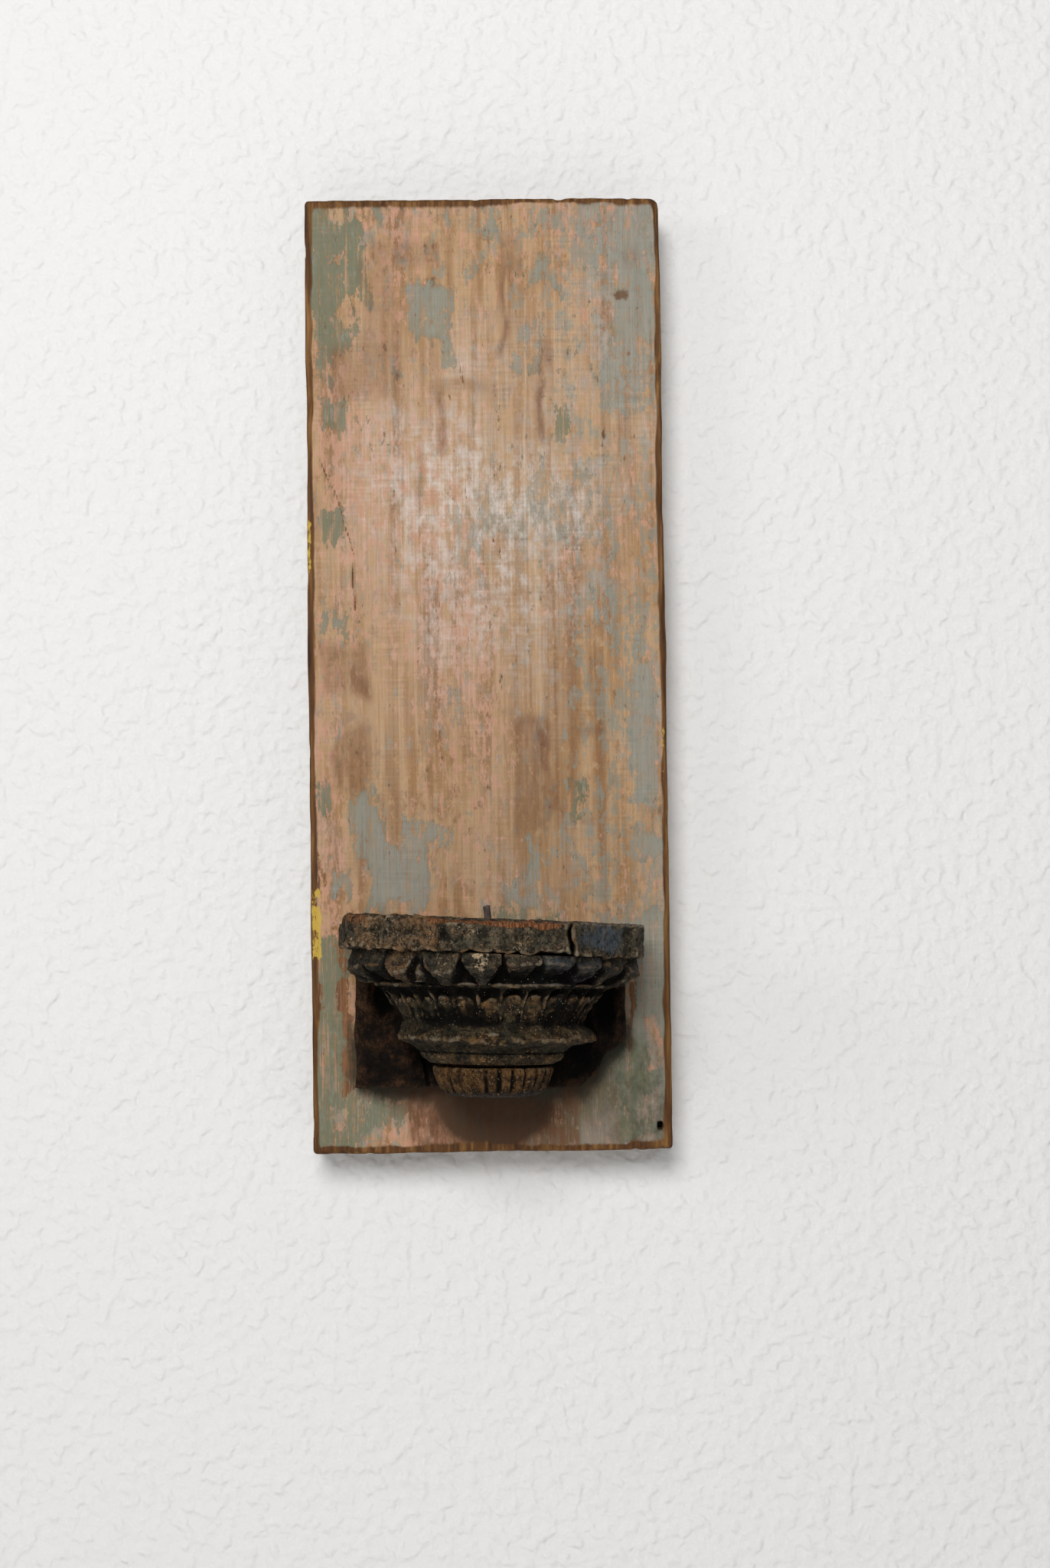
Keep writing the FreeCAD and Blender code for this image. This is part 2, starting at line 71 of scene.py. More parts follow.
class Clay:
    """A rectilinear grid of points to shape a piece on."""

    def __init__(self, xs, ys, zs, seed):
        self.axes = [np.asarray(a, np.float64) for a in (xs, ys, zs)]
        thin = [a.astype(np.float32) for a in self.axes]
        self.x, self.y, self.z = np.meshgrid(*thin, indexing="ij", sparse=True)
        self.random = np.random.default_rng(seed)

    def noise(self, *cells):
        """Smooth noise with unit spread; a cell of None leaves that axis out."""
        wx, wy, wz = [spline_weights(a, c) for a, c in zip(self.axes, cells)]
        lattice = self.random.standard_normal((wx.shape[1], wy.shape[1], wz.shape[1])).astype(np.float32)
        field = np.matmul(wy, np.tensordot(wx, lattice, (1, 0))) @ wz.T
        return field / max(float(field.std()), 1e-6)

    def fractal(self, cell, octaves=3, stretch=(1, 1, 1)):
        """Noise summed over octaves, each with half the cell and half the strength of the one before."""
        return sum(0.5 ** k * self.noise(*[None if s is None else cell * s / 2 ** k for s in stretch])
                   for k in range(octaves))


def steps(low, high, step):
    return np.linspace(low, high, int(round((high - low) / step)) + 1)


def ease(x, low, high):
    """0 at low and 1 at high, with a soft start and end; low may be the larger one."""
    t = np.clip((x - low) / (high - low), 0.0, 1.0)
    return t * t * (3 - 2 * t)


def spot(u, v, full=0.3):
    """1 near the centre of a unit circle, 0 outside it."""
    return ease(np.hypot(u, v), 1.0, full)


def smooth_max(a, b, k):
    h = np.clip(0.5 + 0.5 * (a - b) / k, 0.0, 1.0)
    return b * (1 - h) + a * h + k * h * (1 - h)


def smooth_min(a, b, k):
    return -smooth_max(-a, -b, k)


def corner_distance(a, b):
    """Distance to the corner between two faces, from the distances to each."""
    return np.hypot(np.maximum(a, 0), np.maximum(b, 0)) + np.minimum(np.maximum(a, b), 0)


def segment_distance(x, y, start, end):
    ex, ey = end[0] - start[0], end[1] - start[1]
    t = np.clip(((x - start[0]) * ex + (y - start[1]) * ey) / (ex * ex + ey * ey), 0, 1)
    return np.hypot(x - start[0] - t * ex, y - start[1] - t * ey)


def line_distance(x, y, points):
    best = 1e9
    for start, end in zip(points, points[1:]):
        best = np.minimum(best, segment_distance(x, y, start, end))
    return best


def polygon_distance(x, y, points):
    """Signed distance to a closed outline in a plane."""
    x, y = np.broadcast_arrays(x, y)
    closed = points + points[:1]
    inside = np.zeros(x.shape, bool)
    for (ax, ay), (bx, by) in zip(closed, closed[1:]):
        slope = (bx - ax) / (by - ay) if abs(by - ay) > 1e-9 else 0.0
        inside ^= ((ay > y) != (by > y)) & (x < ax + (y - ay) * slope)
    edge = line_distance(x, y, closed)
    return np.where(inside, -edge, edge)


def surface(values):
    """Vertices, in grid steps, and quads of the zero surface of a field."""
    inside = values < 0
    n = [s - 1 for s in values.shape]
    starts = [(i, j, k) for i in (0, 1) for j in (0, 1) for k in (0, 1)]
    filled = sum(inside[i:i + n[0], j:j + n[1], k:k + n[2]].astype(np.int8) for i, j, k in starts)
    cells = np.argwhere((filled > 0) & (filled < 8))
    ids = np.full(n, -1, np.int32)
    ids[tuple(cells.T)] = np.arange(len(cells))
    corners = {(i, j, k): values[cells[:, 0] + i, cells[:, 1] + j, cells[:, 2] + k] for i, j, k in starts}
    total, count = np.zeros((len(cells), 3)), np.zeros(len(cells))
    for axis in range(3):
        for start in [c for c in corners if c[axis] == 0]:
            end = tuple(1 if a == axis else start[a] for a in range(3))
            a, b = corners[start], corners[end]
            cut = (a < 0) != (b < 0)
            point = np.array(start, float)[None].repeat(len(cells), 0)
            point[:, axis] = np.where(cut, a / np.where(cut, a - b, 1), 0)
            total += point * cut[:, None]
            count += cut
    quads = []
    for axis in range(3):
        one, two = [a for a in range(3) if a != axis]
        low = [slice(1, -1)] * 3
        low[axis] = slice(0, -1)
        high = list(low)
        high[axis] = slice(1, None)
        a, b = inside[tuple(low)], inside[tuple(high)]
        for entering in (True, False):
            edges = np.argwhere((a != b) & (a == entering))
            edges[:, [one, two]] += 1
            ring = []
            for d_one, d_two in ((-1, -1), (0, -1), (0, 0), (-1, 0)):
                cell = edges.copy()
                cell[:, one] += d_one
                cell[:, two] += d_two
                ring.append(ids[tuple(cell.T)])
            if entering == (axis == 1):
                ring = ring[::-1]
            quads.append(np.stack(ring, 1))
    return cells + total / count[:, None], np.concatenate(quads)


def box_blur(array, radius):
    for axis, r in enumerate(radius):
        if r < 1:
            continue
        pad = [(0, 0)] * 3
        pad[axis] = (r + 1, r)
        total = np.cumsum(np.pad(array, pad, mode="edge"), axis=axis, dtype=np.float32)
        size = array.shape[axis]
        upper = np.take(total, range(2 * r + 1, 2 * r + 1 + size), axis=axis)
        lower = np.take(total, range(0, size), axis=axis)
        array = (upper - lower) / (2 * r + 1)
    return array


def sample(field, points):
    """Values of a field, which may be flat along some axes, at points in grid steps."""
    out = 0.0
    base = np.floor(points).astype(int)
    f = points - base
    for near in np.ndindex(2, 2, 2):
        index, weight = [], 1.0
        for axis, d in enumerate(near):
            index.append(np.minimum(base[:, axis] + d, field.shape[axis] - 1))
            weight = weight * (f[:, axis] if d else 1 - f[:, axis])
        out = out + weight * field[tuple(index)]
    return out


def make_piece(name, node, material, clay, values, fields=None, place=None, body="holder"):
    """Turns a field into a mesh object with its vertex numbers, in place of a CAD node."""
    values = np.ascontiguousarray(values, dtype=np.float32)
    points, quads = surface(values)
    position = np.stack([np.interp(p, np.arange(len(a)), a) for p, a in zip(points.T, clay.axes)], 1)
    numbers = {key: sample(np.atleast_3d(field), points) for key, field in (fields or {}).items()}
    solid = np.clip(0.5 - values, 0, 1)
    for key, radius in (("edge", 1.3), ("hollow", 4.0)):
        cells = [int(round(radius / float(np.median(np.diff(a))))) for a in clay.axes]
        numbers[key] = sample(box_blur(box_blur(solid, cells), [max(1, c // 2) for c in cells]), points)
    if place is not None:
        position = place(position)
    mesh = bpy.data.meshes.new(name)
    mesh.from_pydata((position * MM).astype(np.float32), [], quads)
    mesh.polygons.foreach_set("use_smooth", np.ones(len(quads), bool))
    for key, number in numbers.items():
        mesh.attributes.new(key, "FLOAT", "POINT").data.foreach_set("value", np.asarray(number, np.float32))
    mesh.update()
    mesh.materials.append(material)
    piece = bpy.data.objects.new(name, mesh)
    bpy.context.scene.collection.objects.link(piece)
    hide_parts(node)
    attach(piece, body)


# ---------------------------------------------------------------- places as in the CAD, in millimetres
(BOARD_LEFT, BOARD_FRONT, BOARD_BOTTOM), (BOARD_RIGHT, BOARD_BACK, BOARD_TOP) = [
    [v / MM for v in corner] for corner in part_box("backboard")]
BOARD_MIDDLE = (BOARD_FRONT + BOARD_BACK) / 2
BLOCK_THICKNESS = 14.0
BLOCK_FRONT = BOARD_FRONT - BLOCK_THICKNESS
SEAT = np.array([1.4, BLOCK_FRONT - 21.0, -278.3])      # where the carving's axis meets the slab's underside
SLAB_THICKNESS = 14.0
SLAB_NAILS = {"slab_nail_left": (-38.0, -8.0), "slab_nail_right": (40.0, -6.0)}
NAIL_HEAD_RADIUS = 3.35
SPIKE_FOOT = (-2.9, -11.0)
SLAB_ROLL = 2.9      # degrees
SPIKE_LEAN = 5.0 + SLAB_ROLL
OLD_NAIL_HOLE = (74.5, -357.5)
SCREWS = {"bracket_screw_left": (-27.0, -296.0), "bracket_screw_right": (30.0, -297.5),
          "bracket_screw_lower": (1.5, -306.0)}
EYE_Y, EYE_Z = -2.72, -12.8      # the ring's hinge
HANGER_SCREWS = {"hanger_screw_upper": EYE_Z - 11.0, "hanger_screw_lower": EYE_Z - 27.0}
STRAP_HALF_WIDTH, STRAP_THICKNESS = 5.4, 1.0
PAD_RADIUS, PAD_X, PAD_Z = 5.9, 66.0, -354.0


def turn(roll, pitch):
    """Right side down, then front up, in degrees."""
    r, p = math.radians(roll), -math.radians(pitch)
    about_y = np.array([[math.cos(r), 0, math.sin(r)], [0, 1, 0], [-math.sin(r), 0, math.cos(r)]])
    about_x = np.array([[1, 0, 0], [0, math.cos(p), -math.sin(p)], [0, math.sin(p), math.cos(p)]])
    return about_y @ about_x


SLAB_TURN, CAPITAL_TURN, DROP_TURN = turn(SLAB_ROLL, 1.75), turn(1.5, 2.4), turn(1.0, 2.2)


def plane(clay, rotation, normal, point):
    """Distance in front of a plane that is given in the object's frame, on a grid turned about the seat."""
    n = rotation.T @ np.array(normal, float)
    away = float(np.dot(normal, SEAT - np.array(point, float)))
    return (n[0] * clay.x + n[1] * clay.y + n[2] * clay.z + away).astype(np.float32)


def against_block(clay, rotation):
    return plane(clay, rotation, (0, 1, 0), (0, BLOCK_FRONT, 0))


def on_seat(rotation):
    return lambda p: p @ rotation.T + SEAT


def along(origin, up, spin=0.0):
    """Moves a piece made along +Z to a place and direction, turned about its own axis by spin degrees."""
    up = np.array(up, float) / np.linalg.norm(up)
    side = np.cross([0, 1, 0], up) if abs(up[1]) < 0.9 else np.cross([1, 0, 0], up)
    side = side / np.linalg.norm(side)
    rotation = np.stack([side, np.cross(up, side), up], 1)
    a = math.radians(spin)
    about_z = np.array([[math.cos(a), -math.sin(a), 0], [math.sin(a), math.cos(a), 0], [0, 0, 1]])
    return lambda p: p @ about_z.T @ rotation.T + np.array(origin, float)


# ---------------------------------------------------------------- materials
class Value:
    """A socket of a material's node tree; + and * make Math nodes."""

    def __init__(self, graph, socket):
        self.graph, self.socket = graph, socket

    def __add__(self, other):
        return self.graph.math("ADD", self, other)

    def __sub__(self, number):
        return self + -number

    def __mul__(self, other):
        return self.graph.math("MULTIPLY", self, other)


class Graph:
    """Short names for building a node material; lengths are in millimetres."""

    def __init__(self, name):
        self.material = bpy.data.materials.new(name)
        self.material.use_nodes = True
        self.tree = self.material.node_tree
        self.tree.nodes.clear()
        self.output = self.tree.nodes.new("ShaderNodeOutputMaterial")
        self.shader = self.tree.nodes.new("ShaderNodeBsdfPrincipled")
        self.tree.links.new(self.shader.outputs[0], self.output.inputs[0])
        self.place = Value(self, self.tree.nodes.new("ShaderNodeTexCoord").outputs["Object"])

    def put(self, socket, value):
        if isinstance(value, Value):
            self.tree.links.new(value.socket, socket)
        elif isinstance(value, tuple):
            socket.default_value = (*value, 1.0) if len(socket.default_value) == 4 else value
        else:
            socket.default_value = value

    def node(self, kind, *values, output=0, inputs=None, **settings):
        node = self.tree.nodes.new("ShaderNode" + kind)
        for key, value in settings.items():
            setattr(node, key, value)
        for key, value in [*enumerate(values), *(inputs or {}).items()]:
            self.put(node.inputs[key], value)
        return Value(self, node.outputs[output])

    def math(self, operation, *values):
        return self.node("Math", *values, operation=operation)

    def scaled(self, cell, offset):
        """Object coordinates with one unit per cell of the given size."""
        x, y, z = cell if isinstance(cell, tuple) else (cell,) * 3
        return self.node("Mapping", self.place, inputs={"Location": (offset, offset * 1.7, offset * 0.6),
                                                        "Scale": (1000 / x, 1000 / y, 1000 / z)})

    def noise(self, cell, detail=2.0, rough=0.5, offset=0.0, warp=0.0):
        return self.node("TexNoise", self.scaled(cell, offset),
                         inputs={"Scale": 1.0, "Detail": detail, "Roughness": rough, "Distortion": warp})

    def spots(self, cell, offset=0.0):
        """Distance to the nearest of scattered points, in cells."""
        return self.node("TexVoronoi", self.scaled(cell, offset), inputs={"Scale": 1.0}, output="Distance")

    def number(self, name):
        return self.node("Attribute", attribute_name=name, output="Fac")

    def step(self, value, low, high, to_low=0.0, to_high=1.0):
        return self.node("MapRange", value, low, high, to_low, to_high, interpolation_type="SMOOTHSTEP")

    def mix(self, share, a, b, kind="MIX"):
        return self.node("Mix", inputs={0: share, 6: a, 7: b}, output=2, data_type="RGBA", blend_type=kind)

    def ramp(self, value, *stops):
        ramp = self.node("ValToRGB", value)
        elements = ramp.socket.node.color_ramp.elements
        while len(elements) < len(stops):
            elements.new(0.5)
        for element, (at, colour) in zip(elements, stops):
            element.position = at
            element.color = (*colour, 1.0)
        return ramp

    def finish(self, colour, roughness, height, depth, **inputs):
        """height is in units of depth millimetres."""
        bump = self.node("Bump", inputs={"Strength": 1.0, "Distance": depth * MM, "Height": height})
        for key, value in {"Base_Color": colour, "Roughness": roughness, "Normal": bump, **inputs}.items():
            self.put(self.shader.inputs[key.replace("_", " ")], value)
        return self.material


def grey(level):
    return (level, level, level)


def plank_back(g, fine_grain, cloud, tone):
    colour = g.ramp(g.noise((5.0, 20.0, 150.0), 4.0, 0.6, 15.0), (0.3, (0.13, 0.085, 0.052)),
                    (0.5, (0.235, 0.165, 0.105)), (0.7, (0.30, 0.225, 0.155)))
    colour = g.mix(g.step(cloud, 0.5, 0.75) * 0.6, colour, (0.145, 0.105, 0.075))
    colour = g.mix(g.step(fine_grain, 0.40, 0.28), colour, (0.06, 0.038, 0.023))
    return g.mix(g.step(tone, 0.05, 0.3), colour, (0.36, 0.29, 0.22))


def plank_wood(g, mottle, weave):
    """The bare front: tan wood under a thin salmon wash, burns, a grey veil and a pale sheen that is painted
    light, the lamp's reflection.
    """
    streak = g.noise((7.0, 20.0, 130.0), 3.0, 0.55, 7.0)
    wood = g.ramp(streak, (0.30, (0.24, 0.120, 0.048)), (0.45, (0.37, 0.220, 0.105)),
                  (0.55, (0.46, 0.300, 0.165)), (0.70, (0.34, 0.185, 0.080)))
    wood = g.mix(g.step(mottle, 0.50, 0.66) * 0.75, wood, (0.275, 0.150, 0.066))
    wood = g.mix(g.step(mottle, 0.44, 0.32) * 0.6, wood, (0.50, 0.345, 0.20))
    salmon = g.step(g.noise((3.4, 8.0, 8.5), 5.0, 0.74, 11.0) + g.number("salmon") * 0.22, 0.545, 0.63)
    wood = g.mix(salmon * 0.82, wood, (0.52, 0.285, 0.190))
    burn = g.step(g.noise((2.2, 9.0, 34.0), 5.0, 0.7, 41.0) + (mottle - 0.5) * 0.5, 0.58, 0.74)
    wood = g.mix(burn * 0.6, wood, (0.17, 0.075, 0.026))
    veil = g.step(g.noise((4.2, 9.0, 9.5), 6.0, 0.76, 31.0) + g.number("veil"), 0.53, 0.62)
    wood = g.mix(veil * 0.72, wood, (0.235, 0.245, 0.205))
    # painted sheen: a pale pool standing in for the lamp's reflection in the middle of the board
    haze = g.number("haze") * g.step(weave * 0.45 + mottle * 1.35, 0.66, 1.22)
    return g.mix(haze, wood, (0.62, 0.55, 0.50))


def painted_plank():
    g = Graph("painted_plank")
    grain = g.noise((1.1, 6.0, 60.0), 3.0, 0.6)
    fine_grain = g.noise((0.45, 2.0, 14.0), 2.0, 0.6, 3.0)
    cloud = g.noise((16.0, 16.0, 34.0), 3.0, 0.6, 1.0)
    saw = g.noise((14.0, 14.0, 1.15), 1.0, 0.5, 5.0)
    mottle = g.noise((5.0, 9.0, 8.0), 5.0, 0.72, 27.0)
    colour = plank_wood(g, mottle, grain * 0.72 + saw * 0.28)

    chip = g.noise((1.7, 5.0, 4.2), 5.0, 0.72, 19.0) + g.noise((4.0, 9.0, 11.0), 3.0, 0.6, 2.0) * 0.8
    green = g.step(g.number("green") + (chip - 0.9) * 4.6, -0.06, 0.30)
    green = green * g.step(grain + fine_grain * 0.5 + mottle * 0.5, 0.72, 1.02)
    green_colour = g.mix(g.step(g.number("cool") + (cloud - 0.5) * 0.8, 0.2, 0.8),
                         (0.150, 0.165, 0.105), (0.275, 0.275, 0.235))
    faded = g.step(g.noise((2.5, 4.0, 7.0), 3.0, 0.6, 23.0), 0.52, 0.75)
    green_colour = g.mix(faded, green_colour, (0.21, 0.235, 0.195))
    # the green paint shows less where the painted sheen lies
    colour = g.mix(green * g.step(g.number("haze"), 0.0, 1.2, 0.93, 0.5), colour, green_colour)

    orange = g.step(g.number("orange") + (chip - 0.9) * 2.6, 0.1, 0.45)
    orange_colour = g.mix(g.step(grain + fine_grain * 0.6, 0.62, 0.95), (0.085, 0.032, 0.012),
                          (0.26, 0.105, 0.036))
    colour = g.mix(orange * 0.88, colour, orange_colour)
    tone = (grain - 0.5) * 0.5 + (fine_grain - 0.5) * 0.35 + (saw - 0.5) * 0.55 * g.step(cloud, 0.35, 0.7)
    colour = g.mix(1.0, colour, g.mix(tone * 1.4 + 0.5, (0.62, 0.58, 0.54), grey(1.0)), "MULTIPLY")

    # real stains, and low in the middle the painted shadow of the cup
    stain_and_painted_shadow = g.number("stain_and_painted_shadow") * g.step(chip + grain * 0.6, 0.75, 1.35)
    colour = g.mix(stain_and_painted_shadow * 0.9, colour, (0.13, 0.052, 0.020))
    mark = g.step(g.number("mark") + (g.noise(1.4, 2.0, 0.5, 4.0) - 0.5) * 0.9, 0.35, 0.8)
    colour = g.mix(mark, colour, (0.12, 0.068, 0.034))
    # painted shade: dark green-brown shadow under the block and the cup, and a darker lower right
    soot = g.step(g.number("soot") + (mottle - 0.5) * 0.9, 0.15, 0.85)
    colour = g.mix(soot * 0.93, colour, g.mix(stain_and_painted_shadow, (0.021, 0.020, 0.010), (0.055, 0.023, 0.008)))

    side_colour = g.ramp(g.noise((3.0, 2.0, 40.0), 4.0, 0.6, 9.0), (0.3, (0.035, 0.013, 0.004)),
                         (0.5, (0.095, 0.039, 0.010)), (0.7, (0.22, 0.11, 0.032)))
    rim = g.step((g.noise((2.4, 2.4, 12.0), 3.0, 0.6, 13.0) - 0.5) * 0.7 + g.number("side"), 0.30, 0.80)
    colour = g.mix(rim, colour, side_colour)
    yellow = g.step(g.number("yellow") + (chip - 0.9) * 2.0, 0.30, 0.5)
    colour = g.mix(yellow * 0.9, colour, (0.47, 0.32, 0.05))
    back = g.number("back")
    colour = g.mix(back, colour, plank_back(g, fine_grain, cloud, tone))
    # darker in holes, countersinks and the crack: painted shade, with some grime
    colour = g.mix(g.step(g.number("hollow"), 0.56, 0.72) * 0.7, colour, (0.03, 0.018, 0.01))

    rough = g.step(rim, 0.0, 1.0, 0.60, 0.72) + (fine_grain - 0.5) * 0.35 + back * 0.2
    height = grain * 1.0 + fine_grain * 0.6 + saw * 0.25 + green * 0.55
    return g.finish(colour, rough, height, 0.13, Specular_IOR_Level=0.22)


def carved_wood(name, base, warm, worn, rubbed, specks=1.0):
    """Old dark varnished and painted carving: black in the hollows, partly grime and partly painted shade;
    golden brown on what is rubbed, with painted highlights along the rims.
    """
    g = Graph(name)
    cloud = g.noise(9.0, 4.0, 0.62)
    grit = g.noise(1.1, 5.0, 0.78, 3.0)
    flake = g.noise((2.2, 2.2, 2.8), 5.0, 0.75, 8.0, warp=0.5)
    grain = g.noise((0.8, 0.8, 9.0), 3.0, 0.6, 14.0)
    ragged = grit + flake - 1.0
    warmth = g.number("warm")
    hollow = g.number("hollow")
    colour = g.mix(g.step(cloud + flake * 0.5, 0.6, 0.95), base, warm)
    golden = g.step(warmth * 0.5 + flake * 0.7 + (hollow - 0.5) * -0.6, 0.44, 0.80)
    colour = g.mix(golden * 0.85, colour, worn)
    blotch = g.step(g.noise(4.6, 5.0, 0.72, 29.0), 0.38, 0.62)
    colour = g.mix(1.0, colour, g.mix(blotch, grey(0.36), grey(1.5)), "MULTIPLY")
    crumbs = g.step(g.noise(0.75, 3.0, 0.6, 17.0), 0.56, 0.66)
    crumbs = crumbs * g.step(cloud + warmth * 0.15, 0.44, 0.62)
    bright_rubbed, bright_worn = tuple(c * 1.7 for c in rubbed), tuple(c * 2.4 for c in worn)
    crumb_colour = g.mix(g.step(flake, 0.42, 0.56), bright_rubbed, bright_worn)
    colour = g.mix(crumbs * (0.85 * min(1.0, specks + 0.2)), colour, crumb_colour)
    pitch = g.step(grit + flake * 0.8, 0.90, 0.76)
    colour = g.mix(pitch * 0.9, colour, (0.006, 0.005, 0.004))
    # lighter on outer edges: rubbed wear, and a painted highlight along the rims
    wear_and_edge_highlight = (g.number("edge") - 0.46) * -12.0 + ragged * 2.6
    colour = g.mix(g.step(wear_and_edge_highlight, 0.6, 1.9) * 0.7, colour, g.mix(g.step(cloud, 0.4, 0.65), worn, rubbed))
    bare = g.step(g.number("bare") + ragged * 1.6, 0.3, 0.75)
    bare_colour = g.mix(g.step(grain, 0.42, 0.6), (0.085, 0.032, 0.014), (0.225, 0.098, 0.042))
    colour = g.mix(bare, colour, bare_colour)
    pale = g.step(g.number("pale") + ragged * 3.2, 0.35, 0.8)
    colour = g.mix(pale, colour, g.mix(g.step(grit, 0.42, 0.6), (0.20, 0.14, 0.08), (0.46, 0.35, 0.22)))
    colour = g.mix(g.number("cool") * g.step(flake, 0.35, 0.6), colour, (0.064, 0.078, 0.094))
    # near black in hollows and wherever painted shade is asked for: grime and painted shade together
    grime_and_painted_shade = (hollow - 0.485) * 7.0 + (grit - 0.5) * 2.6 + g.number("soot")
    colour = g.mix(g.step(grime_and_painted_shade, 0.05, 0.95) * 0.93, colour, (0.0022, 0.0018, 0.0015))
    dots = g.math("LESS_THAN", g.spots(1.5, 5.0) + g.noise(9.0, 2.0, 0.5, 6.0) * 0.32, 0.235)
    colour = g.mix(dots * (0.7 * specks), colour, (0.50, 0.45, 0.38))
    rough = grit * 0.38 + 0.46 + g.step(grime_and_painted_shade, 0.0, 1.0) * 0.25
    return g.finish(colour, rough, grit * 1.0 + (flake * 0.9 + grain * 0.5), 0.8, Specular_IOR_Level=0.08)


def old_iron():
    g = Graph("old_iron")
    cloud = g.noise(3.0, 4.0, 0.6)
    grit = g.noise(0.35, 3.0, 0.65, 4.0)
    mottled = cloud + grit * 0.4
    colour = g.mix(g.step(mottled, 0.55, 0.85), (0.020, 0.015, 0.0145), (0.042, 0.022, 0.016))
    colour = g.mix(g.step(g.number("edge"), 0.44, 0.30) * 0.5, colour, (0.085, 0.06, 0.054))
    return g.finish(colour, grit * 0.4 + 0.4, cloud + grit * 0.7, 0.12,
                    Metallic=g.step(mottled, 0.85, 0.5, 0.05, 0.55))


def zinc_steel():
    g = Graph("zinc_steel")
    cloud = g.noise(5.0, 4.0, 0.6)
    scratch = g.noise((0.25, 3.0, 5.0), 3.0, 0.6, 4.0)
    colour = g.ramp(cloud, (0.3, (0.36, 0.35, 0.32)), (0.5, (0.55, 0.54, 0.51)), (0.72, (0.66, 0.65, 0.62)))
    tarnish = g.step(g.noise(1.6, 4.0, 0.7, 9.0) + (g.number("hollow") - 0.5) * 1.2, 0.55, 0.8)
    colour = g.mix(tarnish * 0.75, colour, (0.19, 0.125, 0.075))
    return g.finish(colour, scratch * 0.22 + 0.26 + tarnish * 0.3, scratch + tarnish * 0.8, 0.03,
                    Metallic=g.step(tarnish, 0.0, 1.0, 0.95, 0.35))


def felt():
    g = Graph("felt")
    fibre = g.noise((0.35, 0.5, 0.35), 4.0, 0.75, warp=1.2)
    cloud = g.noise(2.4, 3.0, 0.6, 3.0)
    colour = g.ramp(fibre * 0.6 + cloud * 0.4, (0.33, (0.045, 0.04, 0.036)), (0.5, (0.10, 0.092, 0.083)),
                    (0.68, (0.19, 0.175, 0.16)))
    return g.finish(colour, fibre * 0.15 + 0.82, fibre, 0.25, Sheen_Weight=0.35)


# ---------------------------------------------------------------- the plank
# green-grey paint that is left: centre x, centre z, half width, half height, how much,
# how cool (0 green, 1 grey)
GREEN_PATCHES = [
    (-65, 45, 13, 14, 1.0, 0.1), (-65, 22, 12, 12, 1.0, 0.1), (-67, 3, 9, 10, 0.9, 0.1),
    (-71, -15, 4, 9, 0.8, 0.3), (-45, 54, 3, 5, 0.8, 0.4), (-23, 10, 11, 11, 0.85, 0.6),
    (-16, -8, 2.6, 7, 0.9, 0.6), (-5, 28, 5, 6, 0.75, 0.6), (-16, 49, 2, 5, 0.7, 0.6),
    (3, 48, 4, 10, 0.65, 0.6), (61, 43, 17, 14, 0.8, 0.8), (69, 12, 9, 18, 0.95, 0.8),
    (65, -20, 12, 16, 0.6, 0.9), (28, 24, 7, 5, 0.6, 0.7), (19, -7, 4.5, 9, 0.6, 0.7),
    (-69, -40, 5, 7, 1.0, 0.3), (-69, -87, 5, 6.5, 1.0, 0.2), (-39, -18, 4, 3, 0.6, 0.5),
    (35, -40, 3.6, 4, 0.9, 0.1), (-8, -96, 8, 19, 0.5, 1.0), (41, -78, 21, 17, 0.35, 0.9),
    (68, -149, 5, 14, 0.6, 0.9), (54, -127, 4, 11, 0.5, 0.9), (-68, -133, 7, 7, 0.5, 0.5),
    (-14, -166, 4.5, 8, 0.6, 1.0), (69, -185, 6, 30, 0.85, 0.9), (-73, -210, 4, 7, 0.9, 0.3),
    (-56, -222, 6, 14, 0.95, 0.7), (-41, -245, 13, 14, 1.0, 0.8), (-27, -228, 13, 4.5, 0.8, 0.8),
    (-68, -249, 4, 5, 0.8, 0.6), (19, -243, 3, 14, 0.8, 0.8), (10, -252, 4.5, 4.5, 0.7, 0.8),
    (39, -210, 4, 11, 0.55, 0.2), (45, -238, 4.5, 4.5, 0.6, 0.8), (73, -234, 6, 6, 0.8, 0.9),
    (-71, -318, 8, 46, 1.2, 0.1), (-70, -353, 10, 13, 1.1, 0.15), (70, -301, 9, 38, 1.1, 0.6),
    (66, -350, 12, 12, 0.95, 0.4), (50, -349, 20, 12, 0.95, 0.2), (32, -356, 13, 7, 0.85, 0.15),
    (-46, -352, 12, 7, 0.7, 0.3), (60, -330, 10, 12, 0.95, 0.3), (46, -359, 8, 8, 0.75, 0.7),
    (2, -343, 38, 5, 0.5, 0.1), (10, -264, 17, 3, 0.9, 0.0), (57, -128, 3, 30, 0.4, 0.8),
    (-33, -360, 10, 5, 0.4, 0.3), (60, -275, 12, 12, 0.6, 0.7),
]
